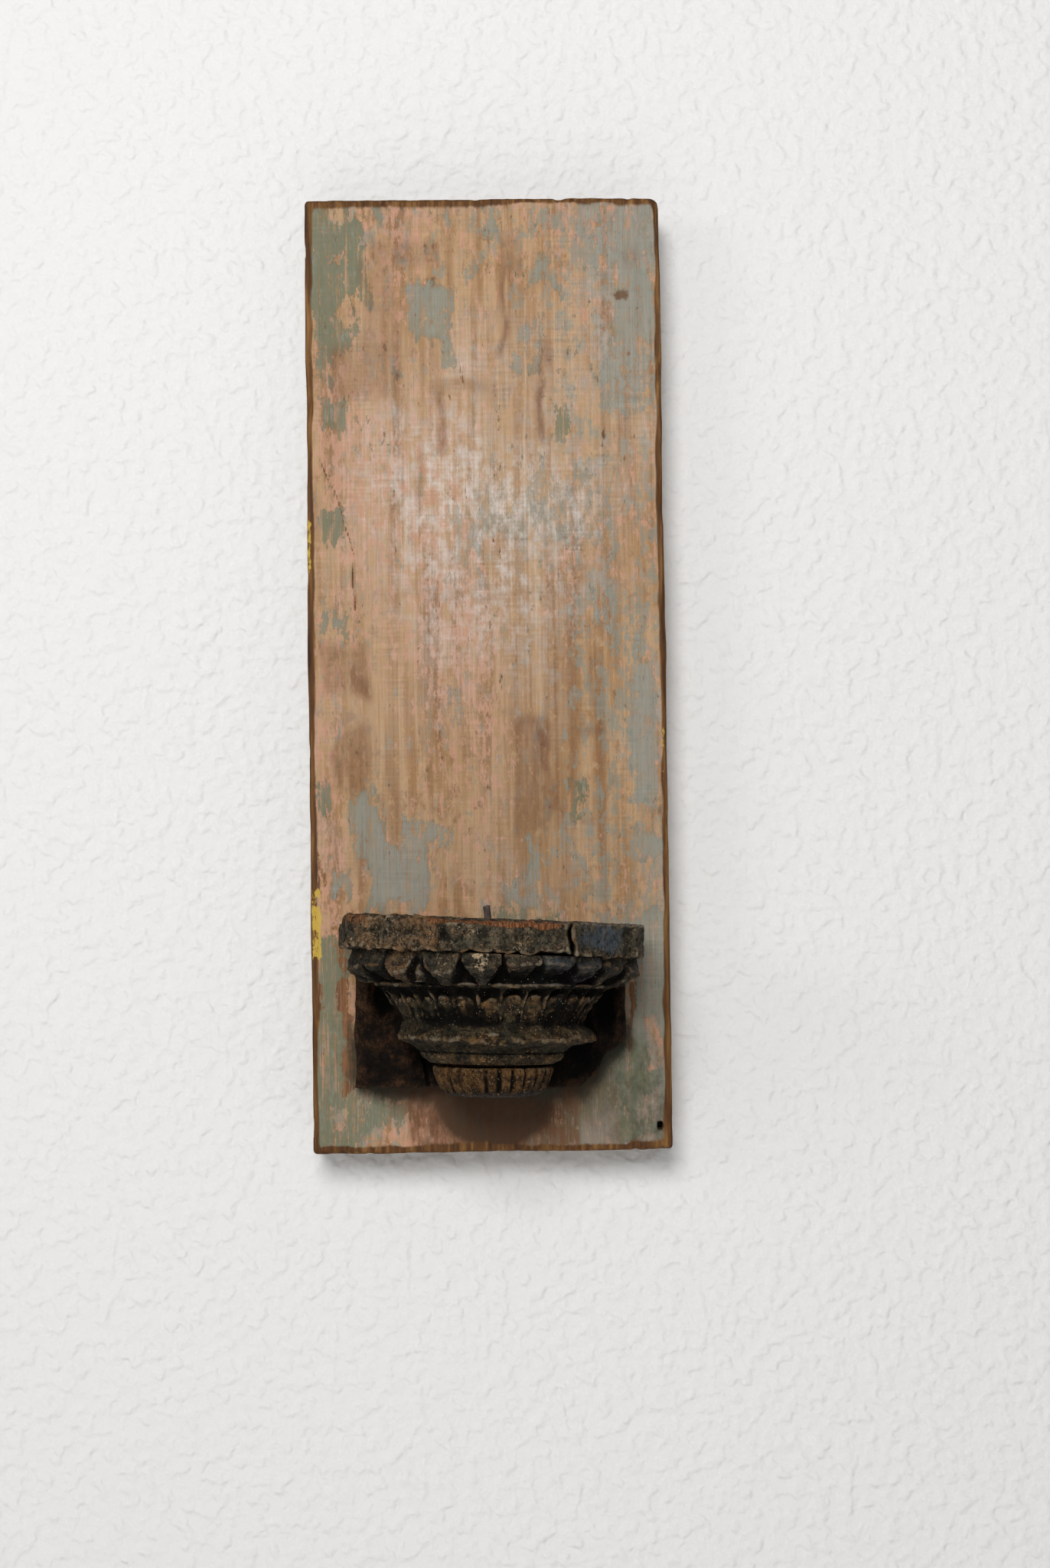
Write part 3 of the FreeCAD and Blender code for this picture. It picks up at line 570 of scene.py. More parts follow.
# the other kinds of patch: centre x, centre z, half width, half height, how much
BARE_CHIPS = [
    (-66, 56, 2.4, 3, 0.9), (-56, 55.5, 3.6, 3, 0.9), (-64, 34, 2, 2.4, 0.8), (-63, 8, 4, 5, 0.8),
    (56, 26, 3, 5, 0.9), (-67.5, -350, 3.6, 5, 0.8), (69, -345, 3, 3.6, 0.9), (71, -318, 2.5, 11, 0.9),
    (58, 52, 3, 6, 0.6),
]
ORANGE_STRIPS = [
    (-66.5, -280, 2.4, 8, 1.0), (-65, -300, 3.0, 10, 1.1), (-64, -325, 3.0, 14, 1.0),
    (60.5, -306, 1.4, 16, 0.8), (-77, -305, 1.6, 9, 0.8), (-66, -270, 3, 8, 0.45), (-77, -250, 2.0, 12, 0.5),
]
# real stains; the four boxes low in the middle (z -345 to -354) are the painted shadow of the cup and the
# block
STAINS_AND_PAINTED_SHADOWS = [
    (20, -202, 7, 26, 0.50), (24, -188, 3, 11, 0.9), (-61, -193, 8, 13, 0.6), (-58, -159, 4, 5, 0.85),
    (22, -178, 6, 1.0, 1.0), (46, -179, 6, 1.1, 0.9), (13, 31, 5, 8, 0.45), (10.5, 14, 0.9, 22, 0.9),
    (24, -33, 1.1, 18, 0.95), (-20, -42, 1.8, 15, 0.7), (-8, -24, 15, 1.6, 0.5), (-35, 37, 15, 5, 0.45),
    (-53, -18, 15, 12, 0.42), (-64, -153, 11, 9, 0.5), (-47, 12, 9, 18, 0.35), (27, -11, 3, 4.5, 0.5),
    (0, -354, 37, 14, 1.0), (40, -352, 16, 12, 0.4), (-4, -345, 16, 10, 0.8), (-30, -346, 14, 8, 0.45),
    (-10, -120, 40, 1.2, 0.3), (66, 30, 3, 3, 0.4), (-30, -268, 20, 2.5, 0.5), (-30, -68, 1.2, 12, 0.35),
    (47, -150, 1.0, 22, 0.3), (-42, -100, 1.0, 25, 0.3),
]
DARK_MARKS = [
    (-22, 23, 1.2, 1.8, 0.8), (62.5, 15.5, 3.4, 2.6, 0.9), (20.6, -126, 1.0, 1.2, 0.8),
    (-5, -214, 2.4, 2.2, 0.6), (49, 42, 1.8, 1.8, 0.6), (8, 51, 1.2, 2.0, 0.6), (5.5, -196, 4.5, 0.5, 0.5),
    (30, -13, 1.6, 2.2, 0.6), (*OLD_NAIL_HOLE, 1.6, 1.7, 0.8),
]
MARK_DEPTHS = [0.5, 0.4, 0.6, 0.3]      # how deep the first four dark marks are dented
OLD_NAIL_DEPTH = 14
COUNTERSINK_RADIUS, BRACKET_HOLE_RADIUS = 4.55, 2.2
HANGER_HOLE_RADIUS, HANGER_HOLE_DEPTH = 1.5, 13.5
YELLOW_RIMS = [(-77.5, -256, 2.6, 6, 0.9), (-77.2, -271, 2.4, 11, 1.0), (-79.2, -98, 1.2, 13, 0.9),
               (78.0, -190, 1.6, 16, 0.7)]
PLANK_CRACK = [(-73.3, -57.7), (-67.9, -71.6), (-62.6, -89.0), (-59.3, -99.4), (-58.9, -127.0)]
# outline round which painted shade darkens the board below the block
SHADE_UNDER_BLOCK = [(-58, -335), (-44, -341.5), (40, -342), (48, -331), (58, -322), (58, -275), (-60, -275)]
CORNER_RADII = {(-1, 1): 2.0, (1, 1): 4.0, (1, -1): 1.5, (-1, -1): 1.7}


def soft_box(x, z, box, soft_x, soft_z):
    """1 inside a box, falling smoothly to 0 outside it."""
    centre_x, centre_z, half_x, half_z = box
    out_x = (np.abs(x - centre_x) - half_x) / soft_x
    out_z = (np.abs(z - centre_z) - half_z) / soft_z
    return 1 - ease(np.maximum(out_x, out_z), -0.6, 1.0)


def patches(x, z, boxes, soft_x=2.0, soft_z=4.0):
    total = np.zeros(np.broadcast_shapes(x.shape, z.shape), np.float32)
    for *box, strength in boxes:
        total = np.maximum(total, strength * soft_box(x, z, box, soft_x, soft_z))
    return total


def spread(low, high, coarse, fine, fine_spans):
    """Coordinates from low to high, closer together inside the given spans."""
    out = [low]
    while out[-1] < high:
        near = any(a <= out[-1] <= b for a, b in fine_spans)
        out.append(out[-1] + (fine if near else coarse))
    return np.array(out)


def plank_grid():
    """Fine near the arrises and round the screws."""
    round_screws = (-313, -289)
    left, right, front, back, bottom, top = (
        BOARD_LEFT, BOARD_RIGHT, BOARD_FRONT, BOARD_BACK, BOARD_BOTTOM, BOARD_TOP)
    xs = spread(left - 2.0, right + 2.5, 0.95, 0.55, [(left - 2, left + 4), (right - 4, right + 2)])
    ys = spread(front - 1.5, back + 1.5, 1.6, 0.5, [(front - 2, front + 3.4), (back - 4.4, back + 2)])
    zs = spread(bottom - 2.0, top + 2.5, 2.4, 0.8,
                [(bottom - 2, bottom + 4), round_screws, (top - 4, top + 2)])
    return Clay(xs, ys, zs, 11)


def plank_outline(clay):
    noise = clay.noise
    wander = 0.16 * noise(None, 9, 34) + 0.10 * noise(None, 4, 9)
    wander_z = 0.14 * noise(24, 9, None) + 0.08 * noise(7, 4, None)
    px, pz = clay.x - (BOARD_LEFT + BOARD_RIGHT) / 2, clay.z - (BOARD_TOP + BOARD_BOTTOM) / 2
    radius = sum(r * ((np.sign(px) == sx) & (np.sign(pz) == sz)) for (sx, sz), r in CORNER_RADII.items())
    out_x = np.abs(px) - ((BOARD_RIGHT - BOARD_LEFT) / 2 - 0.15) + radius + wander
    out_z = np.abs(pz) - ((BOARD_TOP - BOARD_BOTTOM) / 2 - 0.15) + radius + wander_z
    return corner_distance(out_x, out_z) - radius


def plank_shape(clay, outline):
    """The worn plank with its crack, dents and holes; also the distance to the crack."""
    x, y, z, noise = clay.x, clay.y, clay.z, clay.noise
    faces = np.abs(y - BOARD_MIDDLE) - ((BOARD_BACK - BOARD_FRONT) / 2 - 0.12)
    rounding = np.clip(1.5 + 0.55 * noise(30, None, 22) + 0.35 * noise(8, None, 7), 0.5, 3.2)
    a, b = outline + rounding, faces + rounding
    shape = corner_distance(a, b) - rounding
    shape = shape + (0.055 * noise(1.9, None, 70) + 0.035 * noise(1.0, None, 22) + 0.03 * noise(11, None, 11))
    shape = shape + 0.02 * noise(9, None, 2.6)
    shape = shape + 0.22 * ease(noise(5, 9, 8), 2.1, 3.2)
    near_rim = ease(np.abs(a) + np.abs(b), 5.0, 1.5)
    shape = shape + 0.55 * near_rim * ease(noise(2.6, 2.6, 6), 1.1, 2.2)
    front = y < BOARD_MIDDLE
    crack = line_distance(x + 0.35 * noise(None, None, 7), z, PLANK_CRACK)
    shape = np.where(front, smooth_max(shape, 0.55 - crack - (y - BOARD_FRONT) * 0.3, 0.25), shape)
    hole = np.hypot(x - OLD_NAIL_HOLE[0], z - OLD_NAIL_HOLE[1]) + 0.2 * noise(3, 3, 3) - 1.55
    shape = smooth_max(shape, -np.maximum(hole, y - (BOARD_FRONT + OLD_NAIL_DEPTH)), 0.4)
    for (mark_x, mark_z, *_), depth in zip(DARK_MARKS, MARK_DEPTHS):
        shape = shape + depth * front * ease(np.hypot(x - mark_x, (z - mark_z) * 0.9), 2.6, 0.8)
    for screw_x, screw_z in SCREWS.values():
        radius = COUNTERSINK_RADIUS - np.maximum(BOARD_BACK - y, 0) * 0.88
        radius = np.clip(radius, BRACKET_HOLE_RADIUS, COUNTERSINK_RADIUS)
        sink = np.hypot(x - screw_x, z - screw_z) - radius
        shape = smooth_max(shape, -np.maximum(sink, BOARD_MIDDLE - y) * 0.75, 0.2)
    for screw_z in HANGER_SCREWS.values():
        hole = np.hypot(x, z - screw_z) - HANGER_HOLE_RADIUS
        shape = np.maximum(shape, -np.maximum(hole, BOARD_BACK - HANGER_HOLE_DEPTH - y))
    return shape, crack


def plank_paint(clay, outline, crack):
    """Where each paint, stain and kind of wear lies, and where shade, shadow and sheen are painted."""
    x, y, z, noise = clay.x, clay.y, clay.z, clay.noise
    warp_x = x + 1.1 * noise(9, None, 12) + 0.6 * noise(4, None, 6)
    warp_z = z + 2.2 * noise(7, None, 14)
    green, cool = 0.0, 0.5
    for *box, strength, blue in GREEN_PATCHES:
        here = soft_box(warp_x, warp_z, box, 2.4, 5.0)
        cool = cool + (blue - cool) * here
        green = np.maximum(green, strength * here)
    green = green * (1 - patches(warp_x, warp_z, BARE_CHIPS))
    green = 1.75 * green - 0.88 + 0.14 * noise(12, None, 40)
    # painted sheen: a pale pool of reflected light, a little below the middle of the board
    haze = np.exp(-((x + 3) / 52) ** 2 - ((z + 84) / 62) ** 2) * 1.15 + 0.12 * noise(15, None, 18)
    salmon = 0.2 * noise(14, None, 60) + 0.45 * ease(z, -190.0, -300.0) + 0.30 * ease(z, -20.0, 60.0)
    salmon = salmon + 0.35 * spot((x + 56) / 26, (z + 60) / 60)
    rim_width = 1.9 + 0.3 * noise(18, None, 26) + (x < 0) + 0.9 * ease(z, -330.0, -366.0)
    rim_width = rim_width + 0.25 * noise(3.5, None, 7) + 0.9 * (x > 60) + 0.6 * (z > 54)
    # painted shade: the shadow cast under the block and the cup, and the lower right darker as if shaded
    shade_edge = polygon_distance(x, z, SHADE_UNDER_BLOCK)
    shade_under_cup = np.hypot(x - 1, (z + 339) * 1.05) - 25
    soot = np.exp(-np.maximum(np.minimum(shade_edge, shade_under_cup), 0) / 5.5) * ease(z, -300.0, -316.0) * 1.1
    soot = np.maximum(soot, 0.44 * ease(x, 28.0, 62.0) * ease(z, -292.0, -338.0))
    veil = 0.085 * ease(x, 5.0, 55.0) + 0.04 * ease(z, -10.0, 40.0) + 0.03 * ease(z, -220.0, -300.0) - 0.03
    veil = veil + 0.06 * ease(z, -315.0, -345.0) * ease(np.abs(x), 12.0, 30.0)
    veil = veil + 0.11 * ease(np.hypot((x - 12) / 34, (z + 86) / 26), 1.1, 0.3)
    mark = np.maximum(patches(x, z, DARK_MARKS, 1.4, 1.4), ease(crack, 1.0, 0.2) * 0.75)
    yellow = 1.6 * patches(x, z, YELLOW_RIMS, 1.0, 3.0) * ease(y, BOARD_FRONT + 8, BOARD_FRONT + 3) - 1.0
    return {
        "green": green, "cool": cool, "veil": veil, "soot": soot, "salmon": salmon, "yellow": yellow,
        "haze": np.clip(haze, 0, 1.1), "mark": mark * (y < BOARD_MIDDLE),
        "side": ease(outline + rim_width, -1.3, 1.1), "back": ease(y, BOARD_BACK - 2.2, BOARD_BACK - 0.8),
        "orange": patches(warp_x, warp_z, ORANGE_STRIPS, 1.2, 3.0) - 0.35,
        "stain_and_painted_shadow": patches(warp_x, warp_z, STAINS_AND_PAINTED_SHADOWS, 1.0, 2.4),
    }


def build_plank():
    clay = plank_grid()
    outline = plank_outline(clay)
    shape, crack = plank_shape(clay, outline)
    make_piece("plank", "backboard", painted_plank(), clay, shape,
               plank_paint(clay, outline, crack))


# ---------------------------------------------------------------- the block behind the capital
def build_block(material):
    depths = steps(BLOCK_FRONT - 3, BOARD_FRONT + 1.2, 0.7)
    clay = Clay(steps(-62, 62, 0.7), depths, steps(-342, -268, 0.7), 23)
    x, y, z, noise = clay.x, clay.y, clay.z, clay.noise
    middle, tilt = -305.25, math.radians(0.8)
    lx = x * math.cos(tilt) - (z - middle) * math.sin(tilt)
    lz = x * math.sin(tilt) + (z - middle) * math.cos(tilt)
    left, right, low, high = -59.8, 58.6, -32.9, 32.9
    broken_corner = [(39.0, low), (46.0, low + 6), (50.0, low + 15), (right, low + 21)]
    outline = polygon_distance(lx + 0.35 * noise(9, None, 7), lz + 0.35 * noise(7, None, 9),
                               [(left, low), *broken_corner, (right, high), (left, high)])
    depth = 0.9 * np.abs(noise(11, None, 16)) + 0.36 * clay.fractal(5, 3, (1, None, 2.2))
    hollows = 4.6 * spot((lx + 48) / 7.5, (lz - 6) / 10) + 3.4 * spot((lx + 27) / 5, (lz + 19) / 9)
    hollows = hollows + 3.0 * spot((lx - 50) / 6, (lz - 2) / 14, 0.2)
    swell = 1.5 * spot((lx + 44) / 9, (lz + 13) / 7, 0.2)
    split = 2.6 * ease(np.abs(lx + 30 + 1.6 * noise(None, None, 9)) / 0.9, 1.0, 0.2) * ease(lz, 0.0, -14.0)
    front_plane = (BLOCK_FRONT + 0.25) + np.clip(depth, 0, 3.5) + hollows + split - swell
    shape = smooth_max(outline, front_plane - y, 1.6)
    shape = smooth_max(shape, y - BOARD_FRONT, 0.1)
    shape = shape + 0.16 * clay.fractal(2.2, 2, (1, 1, 2)) + 0.35 * ease(noise(3, 3, 5), 1.2, 2.4)
    # painted shade: the right part is near black, as shaded by the slab and bell above, over the block's own
    # dark paint
    on_right = ease(x, 0.0, 25.0)
    fields = {
        "warm": 0.45 * (1 - on_right) + 0.2 * noise(9, None, 9) - 0.35 * on_right - 0.25,
        "soot": 0.9 * ease(x, -10.0, 25.0) - 0.35 * ease(x, -20.0, -45.0),
        "bare": -1.0, "pale": -1.0, "cool": 0.0,
    }
    make_piece("back_block_carved", "back_block", material, clay, shape, fields)


# ---------------------------------------------------------------- the slab
SLAB_OUTLINE = [(-22, -62.5), (31, -62.5), (59, -33), (64.6, -2), (64.6, 30), (-65.6, 30), (-65.6, -2),
                (-61, -34.6), (-24, -63.6)]


def build_slab(material):
    clay = Clay(steps(-68, 68, 0.5), steps(-67, 23, 0.5), steps(-1.5, SLAB_THICKNESS + 2, 0.5), 31)
    x, y, z, noise = clay.x, clay.y, clay.z, clay.noise
    top = SLAB_THICKNESS
    waver = 0.30 * noise(8, 8, None) + 0.16 * noise(3, 3, None)
    plan = polygon_distance(x, y, SLAB_OUTLINE) + waver
    # the front falls into a left facet, a middle with a bare upper rim, and a right part past the split
    left = ease(x + 1.6 * noise(None, None, 4), -19.5, -24.5)
    middle = (1 - left) * ease(x, 31.6, 31.0)
    right = ease(x, 31.2, 32.0)
    front = ease(y, -20.0, -30.0)
    face = front * ease(plan + 0.8 * noise(2.5, 2.5, None), -4.2, -2.4)
    seam = ease(np.abs(x + 21.4 + 0.7 * noise(None, None, 3)), 1.5, 0.3) * front
    plan = plan + 0.15 - left * 0.35 + 0.9 * seam
    lower = 0.25 + 0.32 * noise(9, 30, None) + 0.30 * noise(3.5, 12, None) * (1 - 0.6 * left)
    lower = lower + 1.8 * ease(np.abs(x - 23), 9.0, 4.0) * front - 0.3 * right
    upper = top - 0.15 - 0.16 * np.abs(noise(10, 14, None)) - 0.10 * noise(3, 5, None)
    shape = smooth_max(plan, z - upper, 1.3)
    shape = smooth_max(shape, lower - z, 0.9)
    end_x, end_z, end_radius = -60.4, top - 4.2, 4.2
    rounded_end = np.hypot(np.maximum(end_x - x, 0), np.maximum(z - end_z, 0)) - end_radius
    shape = np.where((x < end_x) & (z > end_z), smooth_max(shape, rounded_end, 0.4), shape)
    rim_low = top - 2.7 + 0.45 * noise(8, None, None) + 0.3 * noise(2.4, None, None)
    rim_low = rim_low - 1.2 * ease(np.abs(x - 20), 5.0, 1.0)
    strip = ease(x, -31.0, -22.0) * (1 - 0.65 * ease(x, 22.0, 31.0))
    rim = strip * ease(z - rim_low, -0.3, 0.5) * face
    shape = shape + rim * 0.9
    split_x = 31.5 + 0.55 * noise(None, None, 4) + 0.35 * noise(None, 5, None)
    from_split = np.abs(x - split_x)
    inward = np.clip((y + 63.0) / 17.0, 0, 1)
    split = np.maximum((from_split - (0.28 + 0.30 * ease(z, 9.0, 4.0) - 0.2 * inward)) * 0.9, y + 46.5)
    shape = smooth_max(shape, -split, 0.5)
    shape = shape + 0.45 * (ease(from_split, 2.4, 0.2) * front) * (1 + 0.8 * noise(1.3, 1.3, 2.2))
    pits = clay.fractal(2.6, 3)
    rough_left = left * face
    shape = shape + (0.16 + 0.12 * rough_left) * clay.fractal(1.7, 2)
    shape = shape + (0.4 + 0.25 * rough_left) * ease(pits, 0.8, 2.2) + 0.14 * noise(1.15, 1.15, 1.15)
    shape = shape + 0.22 * middle * front * ease(noise(1.6, 1.6, 9), 0.9, 2.2)
    shape = shape - 0.22 * left * front * ease(np.abs(noise(3.4, 3.4, 3.4)), 0.35, 0.0)
    shape = smooth_max(shape, against_block(clay, SLAB_TURN), 0.2)
    for nail_x, nail_y in SLAB_NAILS.values():
        sink = np.maximum(np.hypot(x - nail_x, y - nail_y) - (NAIL_HEAD_RADIUS + 0.15), top - 1.4 - z)
        shape = smooth_max(shape, -sink, 0.25)
    spike_hole = np.hypot(x - SPIKE_FOOT[0] + 0.14 * (z - top), y - SPIKE_FOOT[1]) - 1.9
    shape = smooth_max(shape, -spike_hole, 0.4)

    warm = 0.34 * rough_left - 0.1 * middle - 0.35 * right * face + 0.12 * noise(7, 7, 5)
    orange = noise(6, 6, 4) + 1.4 * ease(np.hypot((x + 27) / 7, (z - 9) / 4), 1.2, 0.2)
    top_rim = ease(z, top - 1.6, top - 0.6) * ease(plan, -3.5, -1.0)
    bare = -0.6 + 1.75 * np.maximum(rim, 0.75 * strip * top_rim) + 0.42 * rough_left * ease(z, 8.0, 12.5)
    bare = bare + 0.75 * rough_left * ease(orange, 0.7, 1.7)
    pale = -0.75 + 1.1 * ease(from_split, 2.0, 0.5) * face * ease(noise(2, 2, 2.6), -1.0, 1.0)
    # the pale bands at both ends are partly worn paint and partly painted highlight on the rounded corners
    pale = pale + 0.7 * ease(x, -62.2, -64.2) + 1.05 * spot((x + 7) / 5, (z - 8.5) / 3.2, 0.2) * face
    pale = pale + 0.35 * ease(x, 61.0, 64.0) * face + 0.5 * ease(np.abs(x - 58.2), 0.9, 0.2) * face
    # the blue-grey patch on the right part is partly its paint and partly a painted bluish sheen
    blue = np.hypot((x - 44.5) / 9.5, (z - 7.5) / 5.5) + 0.2 * noise(3, 3, 3)
    # painted shade: under the front's lower edge, in the step beside the left facet and in the split
    soot = 1.5 * ease(z, 2.9, 0.6) * face * (1 - 0.55 * left)
    soot = soot + 0.5 * middle * face * ease(np.abs(x + 19), 4.0, 1.0)
    soot = soot + 0.9 * right * face * ease(np.abs(x - 34), 1.2, 0.2) * ease(z, 9.0, 6.0)
    fields = {"warm": warm, "bare": bare, "pale": pale, "cool": 1.1 * right * face * ease(blue, 1.2, 0.6),
              "soot": soot}
    make_piece("abacus_slab_worn", "abacus_slab", material, clay, shape, fields,
               on_seat(SLAB_TURN))


# ---------------------------------------------------------------- the carved capital
# one row per leaf of the upper band: angle of its middle, width, height of its nose, how fast it tucks under
LEAVES = [
    (-104, 0.95, -8, 1.2), (-88, 0.95, -8, 1.2), (-72, 0.93, -7.0, 1.2), (-55.5, 0.90, -6.2, 1.5),
    (-40.5, 0.88, -7.9, 1.2), (-20.5, 0.98, -8.3, 1.1), (-4.2, 0.93, -6.2, 1.1), (11.5, 0.90, -5.2, 2.1),
    (26.5, 0.88, -5.6, 2.1), (41.5, 0.87, -6.4, 1.6), (57.0, 0.88, -6.3, 1.3), (72, 0.86, -7, 1.2),
    (88, 0.95, -8, 1.2), (104.0, 0.95, -8, 1.2),
]
RUSTY_LEAF, LIT_LEAF, CHIPPED_LEAF, SHADED_LEAF, BLUE_LEAF, BLUISH_LEAF = 4, 5, 6, 7, 8, 9
FLUTE_PITCH, FLUTE_PHASE = 12.8, -1.6
STRAIGHT_PER_RADIAN = 46.0      # length along a straight side that counts as one radian of the round front
LEAF_RADIUS = 57.0      # turns angles into lengths along the band of leaves
# radius and height, 0 at the slab's underside: plain band, ledge, bell, lip, hollow and neck
CAPITAL_PROFILE = [
    (54.0, 6.0), (51.5, -3.0), (50.0, -9.0), (49.4, -12.0), (49.8, -12.8), (50.8, -13.3), (50.4, -14.0),
    (48.4, -14.8), (46.1, -18.0), (42.9, -22.0), (40.3, -26.0), (38.3, -29.3), (38.1, -30.3), (38.8, -31.2),
    (40.6, -32.6), (42.0, -34.2), (42.8, -35.4), (43.1, -36.2), (42.6, -37.1), (40.2, -37.9), (37.0, -38.6),
    (34.2, -39.3), (32.2, -40.6), (31.4, -41.8), (30.7, -42.2), (30.6, -42.8), (30.5, -43.6), (29.9, -44.6),
    (28.6, -45.6), (27.3, -46.2), (26.6, -47.0), (26.2, -50.0),
]
BELL_PROFILE = [(48.5, -15.0), (42.9, -22.0), (38.3, -29.3), (38.0, -33.0)]


def profile(z, points):
    radii, heights = zip(*points[::-1])
    return np.interp(z, heights, radii)


def flutes(u, h, drift):
    """How deep the bell is cut at each angle and height, how far a stick fills it, and each flute's draw."""
    count = np.round((u - FLUTE_PHASE) / FLUTE_PITCH)
    radius = profile(h, BELL_PROFILE)
    off = np.radians(u - (count * FLUTE_PITCH + FLUTE_PHASE)) * radius + 0.35 * drift(5, 4, 2)
    draws = np.array([0.5 + 0.5 * math.sin(12.9898 * k) for k in range(-12, 13)])
    draw = draws[(count + 12).astype(int).clip(0, 24)]
    half_width = math.radians(FLUTE_PITCH) * radius * (0.43 + 0.03 * draw)
    arch = np.maximum(h - (-18.0 + 0.7 * draw), 0.0)
    foot = np.maximum(-29.0 - h, 0.0)
    groove = np.sqrt(np.maximum(half_width ** 2 - off ** 2 - arch ** 2 * 1.15 - foot ** 2 * 6, 0)) * 0.9
    stick_radius = half_width * 0.90
    stick_top = -18.6 + 3.0 * (draw - 0.5) + 0.9 * drift(4, 3, 3)
    rise = np.maximum(h - (stick_top - stick_radius * 0.8), 0.0)
    stick = np.maximum(stick_radius ** 2 - off ** 2 - rise ** 2, 0) / np.maximum(stick_radius, 0.1) ** 2
    return groove * (1 - 0.93 * stick ** 0.22), stick, draw


def round_table(z):
    """Radius of the carving over the angle (rows, degrees) and the height, with the numbers of its paint,
    painted shade and painted highlights.
    """
    angles = np.arange(-125.0, 125.01, 0.45)
    u, h = angles[:, None], z[None, :]

    def drift(cell_u, cell_z, seed):
        return Clay(angles, [0.0, 1.0], z, seed).noise(cell_u, None, cell_z)[:, 0, :]

    bell = ease(h, -14.4, -15.2) * ease(h, -30.6, -29.4)
    cut, stick, draw = flutes(u, h, drift)
    radius = profile(h + drift(14, 8, 1) * 0.25, CAPITAL_PROFILE) - cut * bell
    # leaves: curled, they swell forward to a nose and tuck under to a narrow tip
    middles, widths, noses, slopes = np.array(LEAVES).T
    number = np.abs(u - middles).argmin(1)[:, None]
    nose_at, slope = noses[number], slopes[number]
    hp = h + 0.5 * np.sin(5.3 * number + 0.4) + 0.25 * drift(6, 4, 4)
    side = np.radians(u - middles[number]) * LEAF_RADIUS + 0.3 * drift(5, 4, 5)
    half = np.interp(hp, [-13.6, -13.0, -11.0, -8.0, -5.0, -2.0, 6.0], [0.7, 1.4, 3.0, 5.1, 6.9, 8.1, 8.6])
    half = half * widths[number]
    below, above = np.maximum(nose_at - hp, 0), np.maximum(hp - nose_at, 0)
    nose = 63.2 - 0.28 * above - slope * below - 0.03 * below ** 2 + 0.45 * np.sin(2.3 * number + 2.0)
    across = np.clip(np.abs(side) / np.maximum(half, 0.3), 0, 1.6)
    dish = 0.9 * ease(across, 0.75, 0.1) * ease(hp, -2.0, -5.0) * (number % 3 == 1)
    leaf = nose - 1.1 * across ** 1.1 - dish - np.maximum(np.abs(side) - half, 0) * 5.5
    leaf = leaf - 9.0 * np.maximum(-13.3 - hp, 0)
    radius = smooth_max(radius, leaf, 0.4)
    # a plain ridge fills the wide gap left of the lit leaf
    ridge = 60.0 - 0.5 * np.abs(np.radians(u + 30.0) * LEAF_RADIUS) ** 1.3
    ridge = np.where(h > -13.0, ridge - 0.8 * np.maximum(-9 - h, 0), 0)
    radius = smooth_max(radius, ridge, 0.8)
    # the lip is ragged, higher at the right and broken back at the left
    ragged = ease(drift(6, 3, 6) + 0.6 * drift(2.5, 2, 7), 0.6, 2.2)
    radius = radius - 1.9 * ragged * ease(h, -38.6, -37.2) * ease(h, -33.6, -35.2)
    lip_height = ease(h, -39.6, -36.5) * ease(h, -30.0, -33.5)
    radius = radius + lip_height * (1.2 * ease(u, 35.0, 80.0) - 2.6 * ease(u, -40.0, -80.0))
    radius = radius + 0.12 * drift(3, 2, 8) + 0.07 * drift(1.4, 1.2, 9) + 0.20 * bell * drift(1.3, 6, 21)

    band = ease(h, -14.0, -12.5)
    lip = ease(h, -38.3, -37.0) * ease(h, -29.6, -31.0)
    tip = ease(hp, -6.5, -10.5)

    def chosen(k):
        return (number == k) * band

    warm = (-0.25 * band + 0.16 * bell * np.sqrt(stick) + 0.04 * bell + 0.04 * lip
            - 0.1 * ease(h, -38.0, -39.5) + 0.35 * ease(h, -41.6, -42.4) + 0.5 * chosen(RUSTY_LEAF)
            - 0.1 * drift(9, 6, 10) + 0.35 * bell * (draw - 0.4))
    chip = ease(np.hypot(side - 0.5, (hp + 5.2) * 0.8) + 1.2 * drift(1.6, 1.6, 31), 4.6, 1.0)
    # pale: a real chip on the chipped leaf and wear on the lip; the lit leaf's pale nose and the lighter
    # upper rims of the leaves are painted highlights
    pale = (-0.9 + 1.5 * chosen(CHIPPED_LEAF) * chip + 0.25 * chosen(LIT_LEAF) * tip
            + 1.2 * chosen(LIT_LEAF) * ease(np.hypot(side, (hp + 9.0) * 1.2), 2.8, 0.6)
            + 0.35 * chosen(SHADED_LEAF) * tip + 0.25 * chosen(BLUE_LEAF) * ease(hp, -2.0, 0.5)
            + 0.1 * lip * ragged + 0.42 * band * ease(hp, -3.4, -1.4) * ease(across, 1.0, 0.6)
            + 0.3 * band * ease(np.abs(across - 0.86), 0.16, 0.04) * ease(drift(4, 2, 33), 0.0, 1.0))
    bare = (-0.75 + 0.55 * chosen(RUSTY_LEAF) * tip + 0.35 * lip * ragged * ease(drift(16, 9, 11), 0.2, 1.0)
            + 0.95 * lip * spot((u - 22) / 11, (h + 35.5) / 3.0, 0.4))
